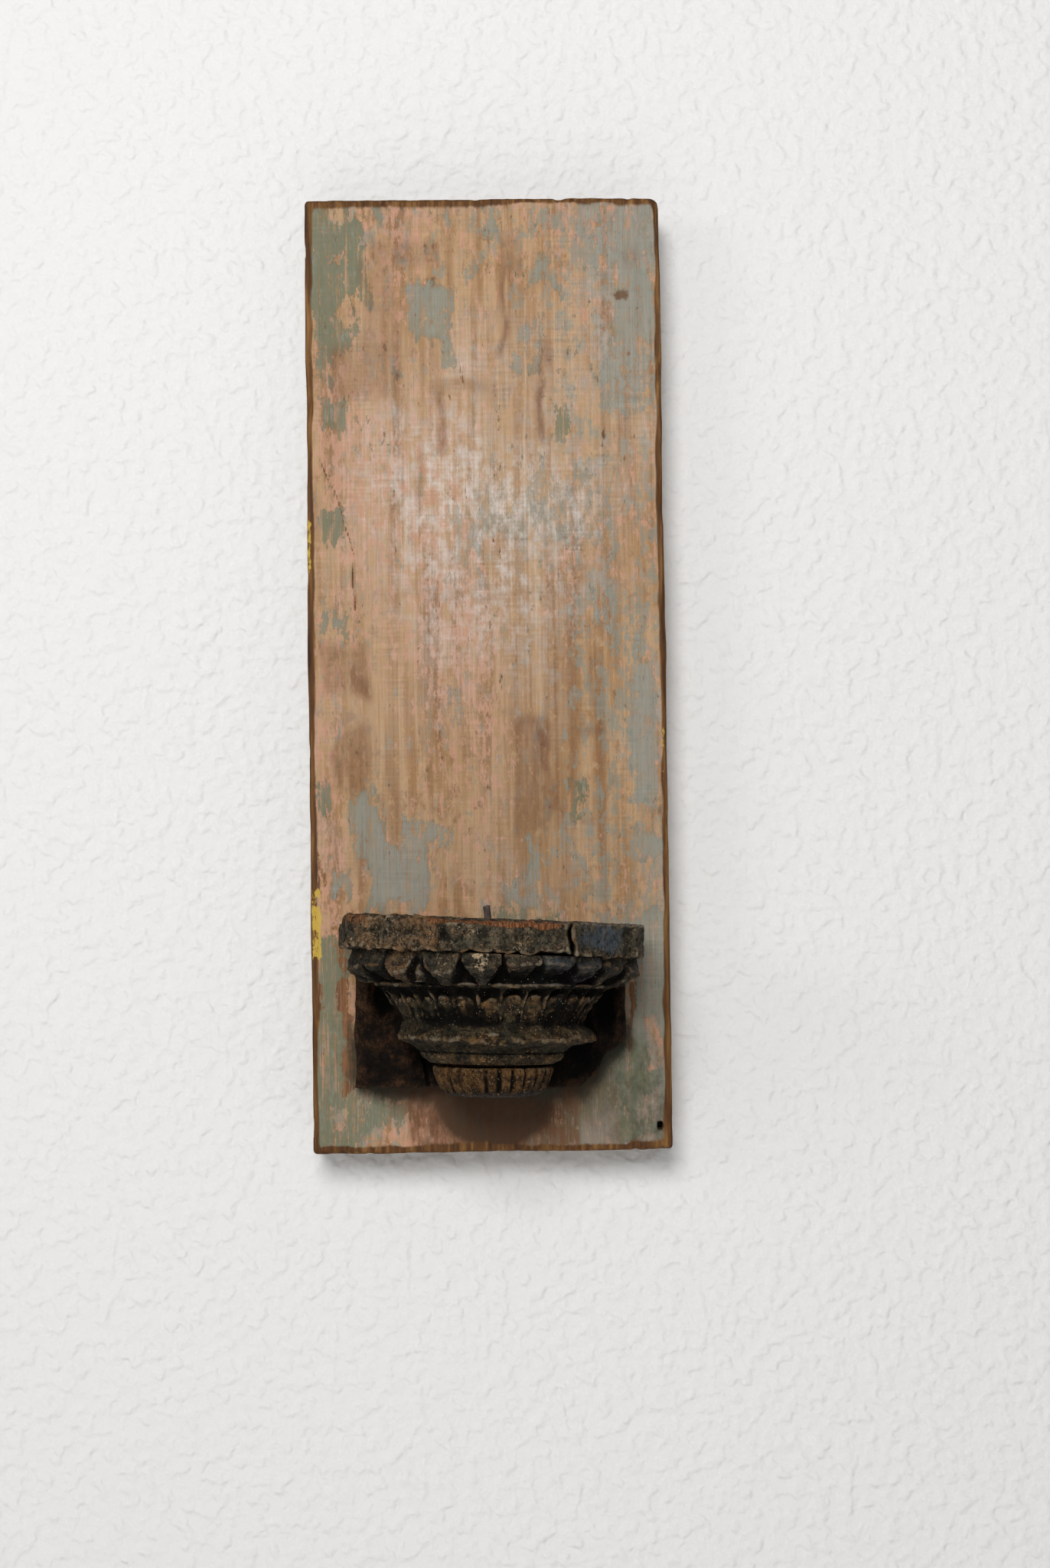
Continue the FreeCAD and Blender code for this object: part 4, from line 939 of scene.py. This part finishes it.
    # painted shade: under the leaves' noses, between the leaves, in the bell's arches under the ledge and in
    # the neck's groove
    under = ease(nose_at - hp, 0.2, 2.6) * np.where(slope > 1.4, 1.0, 0.45)
    gap = ease(np.abs(side) - half, -0.9, 0.5)
    soot = (band * np.maximum(under, 1.1 * gap) - 0.15 * band + 0.35 * band * ease(hp, -4.0, -7.5)
            + 0.9 * bell * ease(h, -19.5, -17.0) + 0.38 * bell * drift(11, 9, 22) + 0.32 * bell + 0.15 * lip
            + 0.5 * ease(h, -12.6, -14.2) * ease(h, -19.0, -16.0)
            - 0.7 * ease(h, -27.0, -29.5) * ease(h, -35.0, -33.0)
            - 0.6 * ease(h, -37.6, -39.0) * ease(h, -42.0, -41.0) + 1.1 * ease(np.abs(h + 42.0), 0.5, 0.1)
            + 0.5 * ease(np.abs(h + 13.4), 1.5, 0.5) * ease(drift(12, None, 34), 0.9, -0.6))
    cool = 0.45 * chosen(BLUE_LEAF) + 0.3 * chosen(BLUISH_LEAF) + 0.1 * band
    return angles, radius, {"warm": warm, "pale": pale, "cool": cool, "bare": bare, "soot": soot}


def lookup(table, row):
    """Values of a table at fractional rows, for every height."""
    low = np.floor(row).astype(int)
    share = (row - low)[..., None].astype(np.float32)
    table = table.astype(np.float32)
    return table[low] * (1 - share) + table[low + 1] * share


def build_capital(material):
    clay = Clay(steps(-66, 66, 0.55), steps(-66, 22.5, 0.55), steps(-48.5, 4.5, 0.5), 41)
    z, noise = clay.z, clay.noise
    x, y = np.broadcast_arrays(clay.x[:, :, 0], clay.y[:, :, 0])
    angle = np.where(y < 0, np.arctan2(x, -y), np.sign(x) * (math.pi / 2 + y / STRAIGHT_PER_RADIAN))
    away = np.where(y < 0, np.hypot(x, y), np.abs(x))
    angles, radius, paints = round_table(clay.axes[2])
    row = np.clip((np.degrees(angle) - angles[0]) / (angles[1] - angles[0]), 0, len(angles) - 1.001)
    slope_z = np.gradient(radius, clay.axes[2], axis=1)
    slope_u = np.gradient(radius, np.radians(angles) * 50.0, axis=0)
    flatten = 1.0 / np.sqrt(1 + slope_z ** 2 + slope_u ** 2)
    shape = (away[..., None] - lookup(radius, row)) * lookup(flatten, row)
    crust = np.abs(noise(2.6, 2.6, 2.6))
    shape = shape + 0.20 * clay.fractal(2.2, 2) + 0.28 * ease(noise(3.2, 3.2, 2.6), 1.0, 2.4)
    shape = shape - 0.25 * ease(crust, 0.35, 0.0)
    shape = shape + 0.13 * noise(1.25, 1.25, 1.25)
    shape = np.maximum(shape, -46.9 - z)
    shape = smooth_max(shape, against_block(clay, CAPITAL_TURN), 0.2)
    under_slab = plane(clay, CAPITAL_TURN, SLAB_TURN @ np.array([0, 0, 1.0]), SEAT)
    shape = smooth_max(shape, under_slab + 0.05, 0.3)
    make_piece("carved_capital_worn", "carved_capital", material, clay, shape,
               {key: lookup(table, row) for key, table in paints.items()}, on_seat(CAPITAL_TURN))


# ---------------------------------------------------------------- the fluted drop
DROP_PROFILE = [(25.2, -48.2), (25.7, -49.2), (25.4, -50.5), (24.4, -54.0), (22.6, -57.5), (21.2, -59.0),
                (20.0, -60.0), (18.6, -60.6), (12.0, -61.2)]


def build_drop(material):
    clay = Clay(steps(-28, 28, 0.4), steps(-28, 22, 0.4), steps(-62.5, -32.5, 0.4), 53)
    x, y, z, noise = clay.x, clay.y, clay.z, clay.noise
    flute_count = 26
    away = np.hypot(x, y)
    body = profile(z, DROP_PROFILE).astype(np.float32)
    flute = np.arctan2(x, -y) * flute_count / (2 * math.pi)
    offset = np.abs((flute - np.round(flute)) * 2)      # 0 on a rib's middle, 1 between two ribs
    draw = 0.6 + 0.4 * np.sin(np.round(flute) * 5.7)
    groove = 1 - np.clip(np.abs(offset - 1.0 + 0.12 * noise(6, 6, 9)) / 0.42, 0, 1) ** 2
    reach = ease(z, -59.4, -58.0) * ease(z, -48.6, -49.8)
    scallop = ease(np.abs(offset - 1.0), 0.55, 0.1) * ease(z, -51.2, -48.8) * 2.2
    pits = ease(np.hypot(offset * 2.9, (z + 56.8 + draw * 0.8) * 0.9), 1.3, 0.4) * 0.9 * (draw > 0.6)
    wall = body - 1.75 * groove * reach - scallop - pits + 0.25 * draw * ease(offset, 0.6, 0.0) * reach
    shape = smooth_max((away - wall) * 0.86, z + 48.3, 0.5)
    shape = smooth_max(shape, -60.9 - z, 0.5)
    neck = np.maximum(away - 20.8, np.maximum(z + 46.4, -50 - z))
    tenon = np.maximum(away - 9.0, np.maximum(z + 34.2, -50 - z))
    shape = np.minimum(np.minimum(shape, neck), tenon)
    shape = shape + 0.09 * clay.fractal(1.8, 2) + 0.2 * ease(noise(2.2, 2.2, 2.8), 1.3, 2.6)
    shape = smooth_max(shape, against_block(clay, DROP_TURN), 0.2)
    # painted shade: under the neck, on the right side away from the light, at the foot and in the flutes
    fields = {
        "warm": 0.44 + 0.36 * draw * ease(offset, 0.7, 0.2) + 0.1 * noise(7, 7, 7)
        - 0.5 * ease(z, -56.0, -60.0),
        "bare": -0.9, "pale": -0.95 + 0.8 * ease(np.abs(z + 60.3), 0.8, 0.2),
        "cool": 0.25 * ease(z, -58.0, -60.5),
        "soot": 0.8 * ease(z, -50.6, -48.8) + 0.45 * ease(x, 6.0, 20.0) + 0.6 * ease(z, -56.0, -59.0)
        + 0.95 * groove * reach - 0.38,
    }
    make_piece("fluted_drop_worn", "fluted_drop", material, clay, shape, fields,
               on_seat(DROP_TURN))


# ---------------------------------------------------------------- iron and steel
def build_spike(material):
    clay = Clay(steps(-2.2, 2.2, 0.16), steps(-2.2, 2.2, 0.16), steps(-36, 6.8, 0.22), 61)
    x, y, z = clay.x, clay.y, clay.z
    radius = profile(z, [(1.38, 5.9), (1.5, 5.4), (1.5, 4.6), (1.45, 0.0), (0.9, -30.0), (0.2, -35.5)])
    square = (np.abs(x) ** 3.2 + np.abs(y) ** 3.2 + 1e-9) ** (1 / 3.2)
    shape = 0.5 * (square * 0.97 + np.hypot(x, y)) - radius.astype(np.float32)
    shape = shape + 0.05 * clay.fractal(1.2, 3, (1, 1, 2))
    shape = smooth_max(shape, z - (5.75 + 0.12 * x + 0.10 * clay.noise(1.0, 1.0, None)), 0.25)
    shape = smooth_max(shape, -35.4 - z, 0.2)
    lean = math.radians(SPIKE_LEAN)
    foot = SEAT + SLAB_TURN @ np.array([*SPIKE_FOOT, SLAB_THICKNESS])
    make_piece("candle_spike_worn", "candle_spike", material, clay, shape,
               place=along(foot, SLAB_TURN @ np.array([-math.sin(lean), 0, math.cos(lean)])))


def build_slab_nails(material):
    for seed, (name, place) in enumerate(SLAB_NAILS.items(), 63):
        clay = Clay(steps(-4.4, 4.4, 0.22), steps(-4.4, 4.4, 0.22), steps(-27, 1.2, 0.3), seed)
        x, y, z, noise = clay.x, clay.y, clay.z, clay.noise
        noise(2, 2, None)      # not used, and drawn only so that the draws after it stay as they were
        rim = np.hypot(x, y) - NAIL_HEAD_RADIUS + 0.14 * noise(2, 2, None)
        head = smooth_max(rim, np.abs(z + 0.7) - 0.55 - 0.05 * noise(1.6, 1.6, None), 0.35)
        taper = profile(z, [(1.45, 0.0), (1.2, -20.0), (0.5, -26.5)])
        shank = np.maximum(np.maximum(np.abs(x), np.abs(y)) * 1.04 - taper, np.abs(z + 13.2) - 13.2)
        shape = smooth_min(head, shank, 0.4) + 0.04 * clay.fractal(1.2, 2)
        foot = SEAT + SLAB_TURN @ np.array([*place, SLAB_THICKNESS])
        make_piece(name + "_forged", name, material, clay, shape,
                   place=along(foot, SLAB_TURN @ np.array([0, 0, 1.0])))


def screw_field(clay, head_radius, head_height, shank_radius, length, slot_depth, pan):
    """A wood screw along -Z, its head's face at z = 0: pan and crossed, or countersunk and slotted."""
    x, y, z = clay.x, clay.y, clay.z
    away = np.hypot(x, y)
    if pan:
        head = smooth_max(away - head_radius, np.abs(z + head_height / 2) - head_height / 2, 1.0)
    else:
        cone = (away - (head_radius + z * (head_radius - shank_radius) / head_height)) * 0.75
        head = smooth_max(np.maximum(cone, -head_height - 0.6 - z), z, 0.2)
    phase = z / (shank_radius * 1.15) - np.arctan2(y, x) / (2 * math.pi)
    ridge = np.abs(phase - np.round(phase)) * 2
    threaded = ease(z, -length * 0.38, -length * 0.45)
    root = shank_radius * (1 - 0.28 * threaded * ease(ridge, 0.18, 0.62))
    tip = np.clip((z + length) / (shank_radius * 3.2), 0.02, 1)
    shank = np.maximum((away - root * tip) * 0.9, np.maximum(z + head_height * 0.5, -length - z))
    shape = smooth_min(head, shank, 0.3)
    half_width, half_length = 0.14 * head_radius, head_radius * (0.62 if pan else 2)
    for across, lengthwise in ((x, y), (y, x)) if pan else ((x, y),):
        slot = np.maximum(np.abs(across) - half_width, np.abs(lengthwise) - half_length)
        shape = np.maximum(shape, -np.maximum(slot, -slot_depth - z))
    return shape + 0.02 * clay.noise(1.5, 1.5, 1.5)


def build_screws(material):
    for seed, (name, (x, z)), spin in zip((71, 72, 73), SCREWS.items(), (35, -20, 75)):
        clay = Clay(steps(-5.4, 5.4, 0.27), steps(-5.4, 5.4, 0.27), steps(-69, 1.0, 0.33), seed)
        make_piece(name + "_slotted", name, material, clay,
                   screw_field(clay, 4.6, 2.6, 2.3, 68.0, 1.3, False),
                   place=along((x, BOARD_BACK - 0.05, z), (0, 1, 0), spin))
    head_height = 1.6
    for seed, (name, z), spin in zip((81, 82), HANGER_SCREWS.items(), (15, 50)):
        clay = Clay(steps(-3.6, 3.6, 0.18), steps(-3.6, 3.6, 0.18), steps(-17, 0.6, 0.22), seed)
        make_piece(name + "_crossed", name, material, clay,
                   screw_field(clay, 3.0, head_height, 1.5, 15.6, 0.9, True),
                   place=along((0, BOARD_BACK + STRAP_THICKNESS + head_height, z), (0, 1, 0), spin))


def build_strap(material):
    heights = steps(EYE_Z - 37, EYE_Z + 3.4, 0.3)
    clay = Clay(steps(-6.4, 6.4, 0.28), steps(BOARD_BACK - 0.8, 0.3, 0.2), heights, 91)
    x, y, z = clay.x, clay.y, clay.z
    low, corner = EYE_Z - 36, 3.0
    from_side = np.abs(x) - STRAP_HALF_WIDTH
    plate = np.maximum(corner_distance(from_side + corner, low + corner - z) - corner, z - EYE_Z)
    plate = np.maximum(plate, from_side + 0.5 * ease(np.abs(z - (EYE_Z - 19)), 7.0, 1.0))
    half = STRAP_THICKNESS / 2
    plate = smooth_max(plate, np.abs(y - (BOARD_BACK + half)) - half, 0.25)
    away = np.hypot(y - EYE_Y, z - EYE_Z)
    curl = smooth_max(np.abs(away - 1.78) - half, from_side, 0.25)
    mouth = np.maximum(np.abs(y - EYE_Y - 0.2) - 2.0, np.abs(z - (EYE_Z - 1.75)) - 0.22)
    curl = np.maximum(curl, -np.where(y > BOARD_BACK + 1.2, mouth, 9.0))
    shape = smooth_min(plate, curl, 0.5)
    for screw_z in HANGER_SCREWS.values():
        shape = smooth_max(shape, -(np.hypot(x, z - screw_z) - 1.7), 0.2)
    shape = shape + 0.02 * clay.noise(3, 3, 3)
    make_piece("hanger_strap_curled", "hanger_strap", material, clay, shape)


def build_ring(material):
    """A wire loop: straight foot in the eye, small knees, short sides and a round crown."""
    clay = Clay(steps(-13, 13, 0.24), steps(EYE_Y - 1.8, EYE_Y + 1.8, 0.24),
                steps(EYE_Z - 1.8, EYE_Z + 17.8, 0.24), 97)
    x, y, lz = clay.x, clay.y, clay.z - EYE_Z
    crown_radius, crown_z, knee_radius, elsewhere = 11.0, 5.0, 3.0, 9.0
    knee_x = crown_radius - knee_radius
    crown = np.where(lz >= crown_z, np.abs(np.hypot(x, lz - crown_z) - crown_radius), elsewhere)
    sides = np.where((lz >= knee_radius) & (lz <= crown_z), np.abs(np.abs(x) - crown_radius), elsewhere)
    knee = np.abs(np.hypot(np.abs(x) - knee_x, lz - knee_radius) - knee_radius)
    knees = np.where((lz <= knee_radius) & (np.abs(x) >= knee_x), knee, elsewhere)
    foot = np.where(np.abs(x) <= knee_x, np.abs(lz), elsewhere)
    path = np.minimum(np.minimum(crown, sides), np.minimum(knees, foot))
    weld = 0.10 * ease(np.abs(x + 0.5), 1.2, 0.4) * (lz > 8)
    shape = np.hypot(path, y - EYE_Y) - 1.17 - weld + 0.012 * clay.noise(1.2, 1.2, 1.2)
    make_piece("hanger_ring_wire", "hanger_ring", material, clay, shape, body="ring")


def build_pads(material):
    for seed, name, side in ((101, "bumper_left", -1), (102, "bumper_right", 1)):
        clay = Clay(steps(-7, 7, 0.28), steps(BOARD_BACK - 0.6, 0.5, 0.25), steps(-7, 7, 0.28), seed)
        x, y, z = clay.x, clay.y, clay.z
        edge = np.hypot(x, z) - PAD_RADIUS + 0.10 * clay.noise(2, 2, 2)
        edge = edge + 0.2 * ease(np.abs(y + 4.0), 0.5, 0.1)
        shape = smooth_max(edge, np.maximum(y + 0.12, BOARD_BACK - y), 0.5) + 0.05 * clay.fractal(0.9, 2)
        make_piece(name + "_felt", name, material, clay, shape,
                   place=lambda p, at=np.array([PAD_X * side, 0, PAD_Z]): p + at)


# ---------------------------------------------------------------- backdrop, light and camera
def stage_plane(name, corners, colour, bump, see_through):
    """A plain surface; a see-through one hides nothing from behind and takes no part in the light."""
    mesh = bpy.data.meshes.new(name)
    mesh.from_pydata(corners, [], [(0, 1, 2, 3)])
    g = Graph(name)
    soft = g.noise(3.6, 2.0, 0.5)
    lumps = g.step(g.noise(6.5, 1.0, 0.4, 4.0), 0.40, 0.72)
    tint = g.mix(soft * 0.25, colour, tuple(c * 0.95 for c in colour))
    g.finish(tint, 0.9, soft + lumps, bump, Specular_IOR_Level=0.2)
    obj = bpy.data.objects.new(name, mesh)
    if see_through:
        facing = g.node("NewGeometry", output="Backfacing")
        blend = g.node("MixShader", facing, Value(g, g.shader.outputs[0]), g.node("BsdfTransparent"))
        g.put(g.output.inputs[0], blend)
        for flag in ("visible_diffuse", "visible_glossy", "visible_transmission", "visible_shadow"):
            setattr(obj, flag, False)
    mesh.materials.append(g.material)
    bpy.context.scene.collection.objects.link(obj)


def area_light(name, place, target, size, power, colour):
    data = bpy.data.lights.new(name, "AREA")
    data.shape = "DISK"
    data.size = size
    data.energy = power
    data.color = colour
    light = bpy.data.objects.new(name, data)
    light.location = place
    light.rotation_mode = "QUATERNION"
    light.rotation_quaternion = (Vector(target) - Vector(place)).to_track_quat("-Z", "Y")
    bpy.context.scene.collection.objects.link(light)


def build_camera(place, yaw, pitch, roll):
    """Angles in degrees: to the right, upwards, and the camera's lean."""
    yaw, pitch, roll = math.radians(yaw), math.radians(pitch), math.radians(roll)
    ahead = np.array([math.sin(yaw) * math.cos(pitch), math.cos(yaw) * math.cos(pitch), math.sin(pitch)])
    right = np.array([math.cos(yaw), -math.sin(yaw), 0.0])
    up = np.cross(right, ahead)
    right, up = math.cos(roll) * right + math.sin(roll) * up, math.cos(roll) * up - math.sin(roll) * right
    camera = bpy.data.objects.new("camera", bpy.data.cameras.new("camera"))
    camera.data.lens, camera.data.sensor_width = 50.0, 36.0
    camera.data.clip_start, camera.data.clip_end = 0.01, 50.0
    matrix = np.eye(4)
    matrix[:3, 0], matrix[:3, 1], matrix[:3, 2], matrix[:3, 3] = right, up, -ahead, place
    camera.matrix_world = Matrix(matrix.tolist())
    bpy.context.scene.collection.objects.link(camera)
    bpy.context.scene.camera = camera


def build_stage():
    wall_y, wall_top, floor_z = 0.0004, 2.5, -1.0
    wall = [(x, wall_y, z) for x, z in ((-3, floor_z), (3, floor_z), (3, wall_top), (-3, wall_top))]
    floor = [(x, y, floor_z) for x, y in ((-6, -6), (6, -6), (6, 6), (-6, 6))]
    stage_plane("backdrop", wall, grey(0.70), 0.6, True)
    stage_plane("floor", floor, (0.80, 0.79, 0.77), 0.1, False)
    world = bpy.data.worlds.new("studio")
    world.use_nodes = True
    background = world.node_tree.nodes["Background"]
    background.inputs[0].default_value = (0.95, 0.97, 1.0, 1)
    background.inputs[1].default_value = 0.20
    bpy.context.scene.world = world
    area_light("key", (-0.25, -1.75, 0.52), (0, 0, -0.3), 0.8, 30.0, (1.0, 0.985, 0.965))
    area_light("front", (0.1, -2.6, 0.1), (0, 0, -0.2), 1.0, 5.0, (1.0, 0.98, 0.96))
    area_light("left", (-1.7, -1.3, 0.25), (0, 0, -0.2), 0.7, 5.0, (0.97, 0.98, 1.0))
    area_light("rear", (0.8, 1.6, 0.9), (0, 0, -0.15), 1.2, 30.0, (1.0, 0.99, 0.97))
    bpy.context.scene.view_settings.view_transform = "Standard"
    build_camera((0.0062, -1.0007, -0.2438), 0.59, 2.3, -0.77)


build_stage()
build_plank()
build_block(carved_wood("block_wood", base=(0.0035, 0.0020, 0.0012), warm=(0.034, 0.0160, 0.0078),
                        worn=(0.05, 0.025, 0.012), rubbed=(0.03, 0.02, 0.013), specks=0.0))
build_slab(carved_wood("slab_wood", base=(0.046, 0.042, 0.029), warm=(0.078, 0.057, 0.034),
                       worn=(0.155, 0.084, 0.038), rubbed=(0.25, 0.21, 0.15)))
build_capital(carved_wood("capital_wood", base=(0.027, 0.0235, 0.0145), warm=(0.046, 0.032, 0.016),
                          worn=(0.12, 0.062, 0.023), rubbed=(0.19, 0.165, 0.12)))
build_drop(carved_wood("drop_wood", base=(0.015, 0.0095, 0.0045), warm=(0.030, 0.017, 0.0065),
                       worn=(0.095, 0.047, 0.016), rubbed=(0.14, 0.10, 0.06)))
iron = old_iron()
build_spike(iron)
build_slab_nails(iron)
steel = zinc_steel()
build_screws(steel)
build_strap(steel)
build_ring(steel)
build_pads(felt())

bpy.context.view_layer.update()
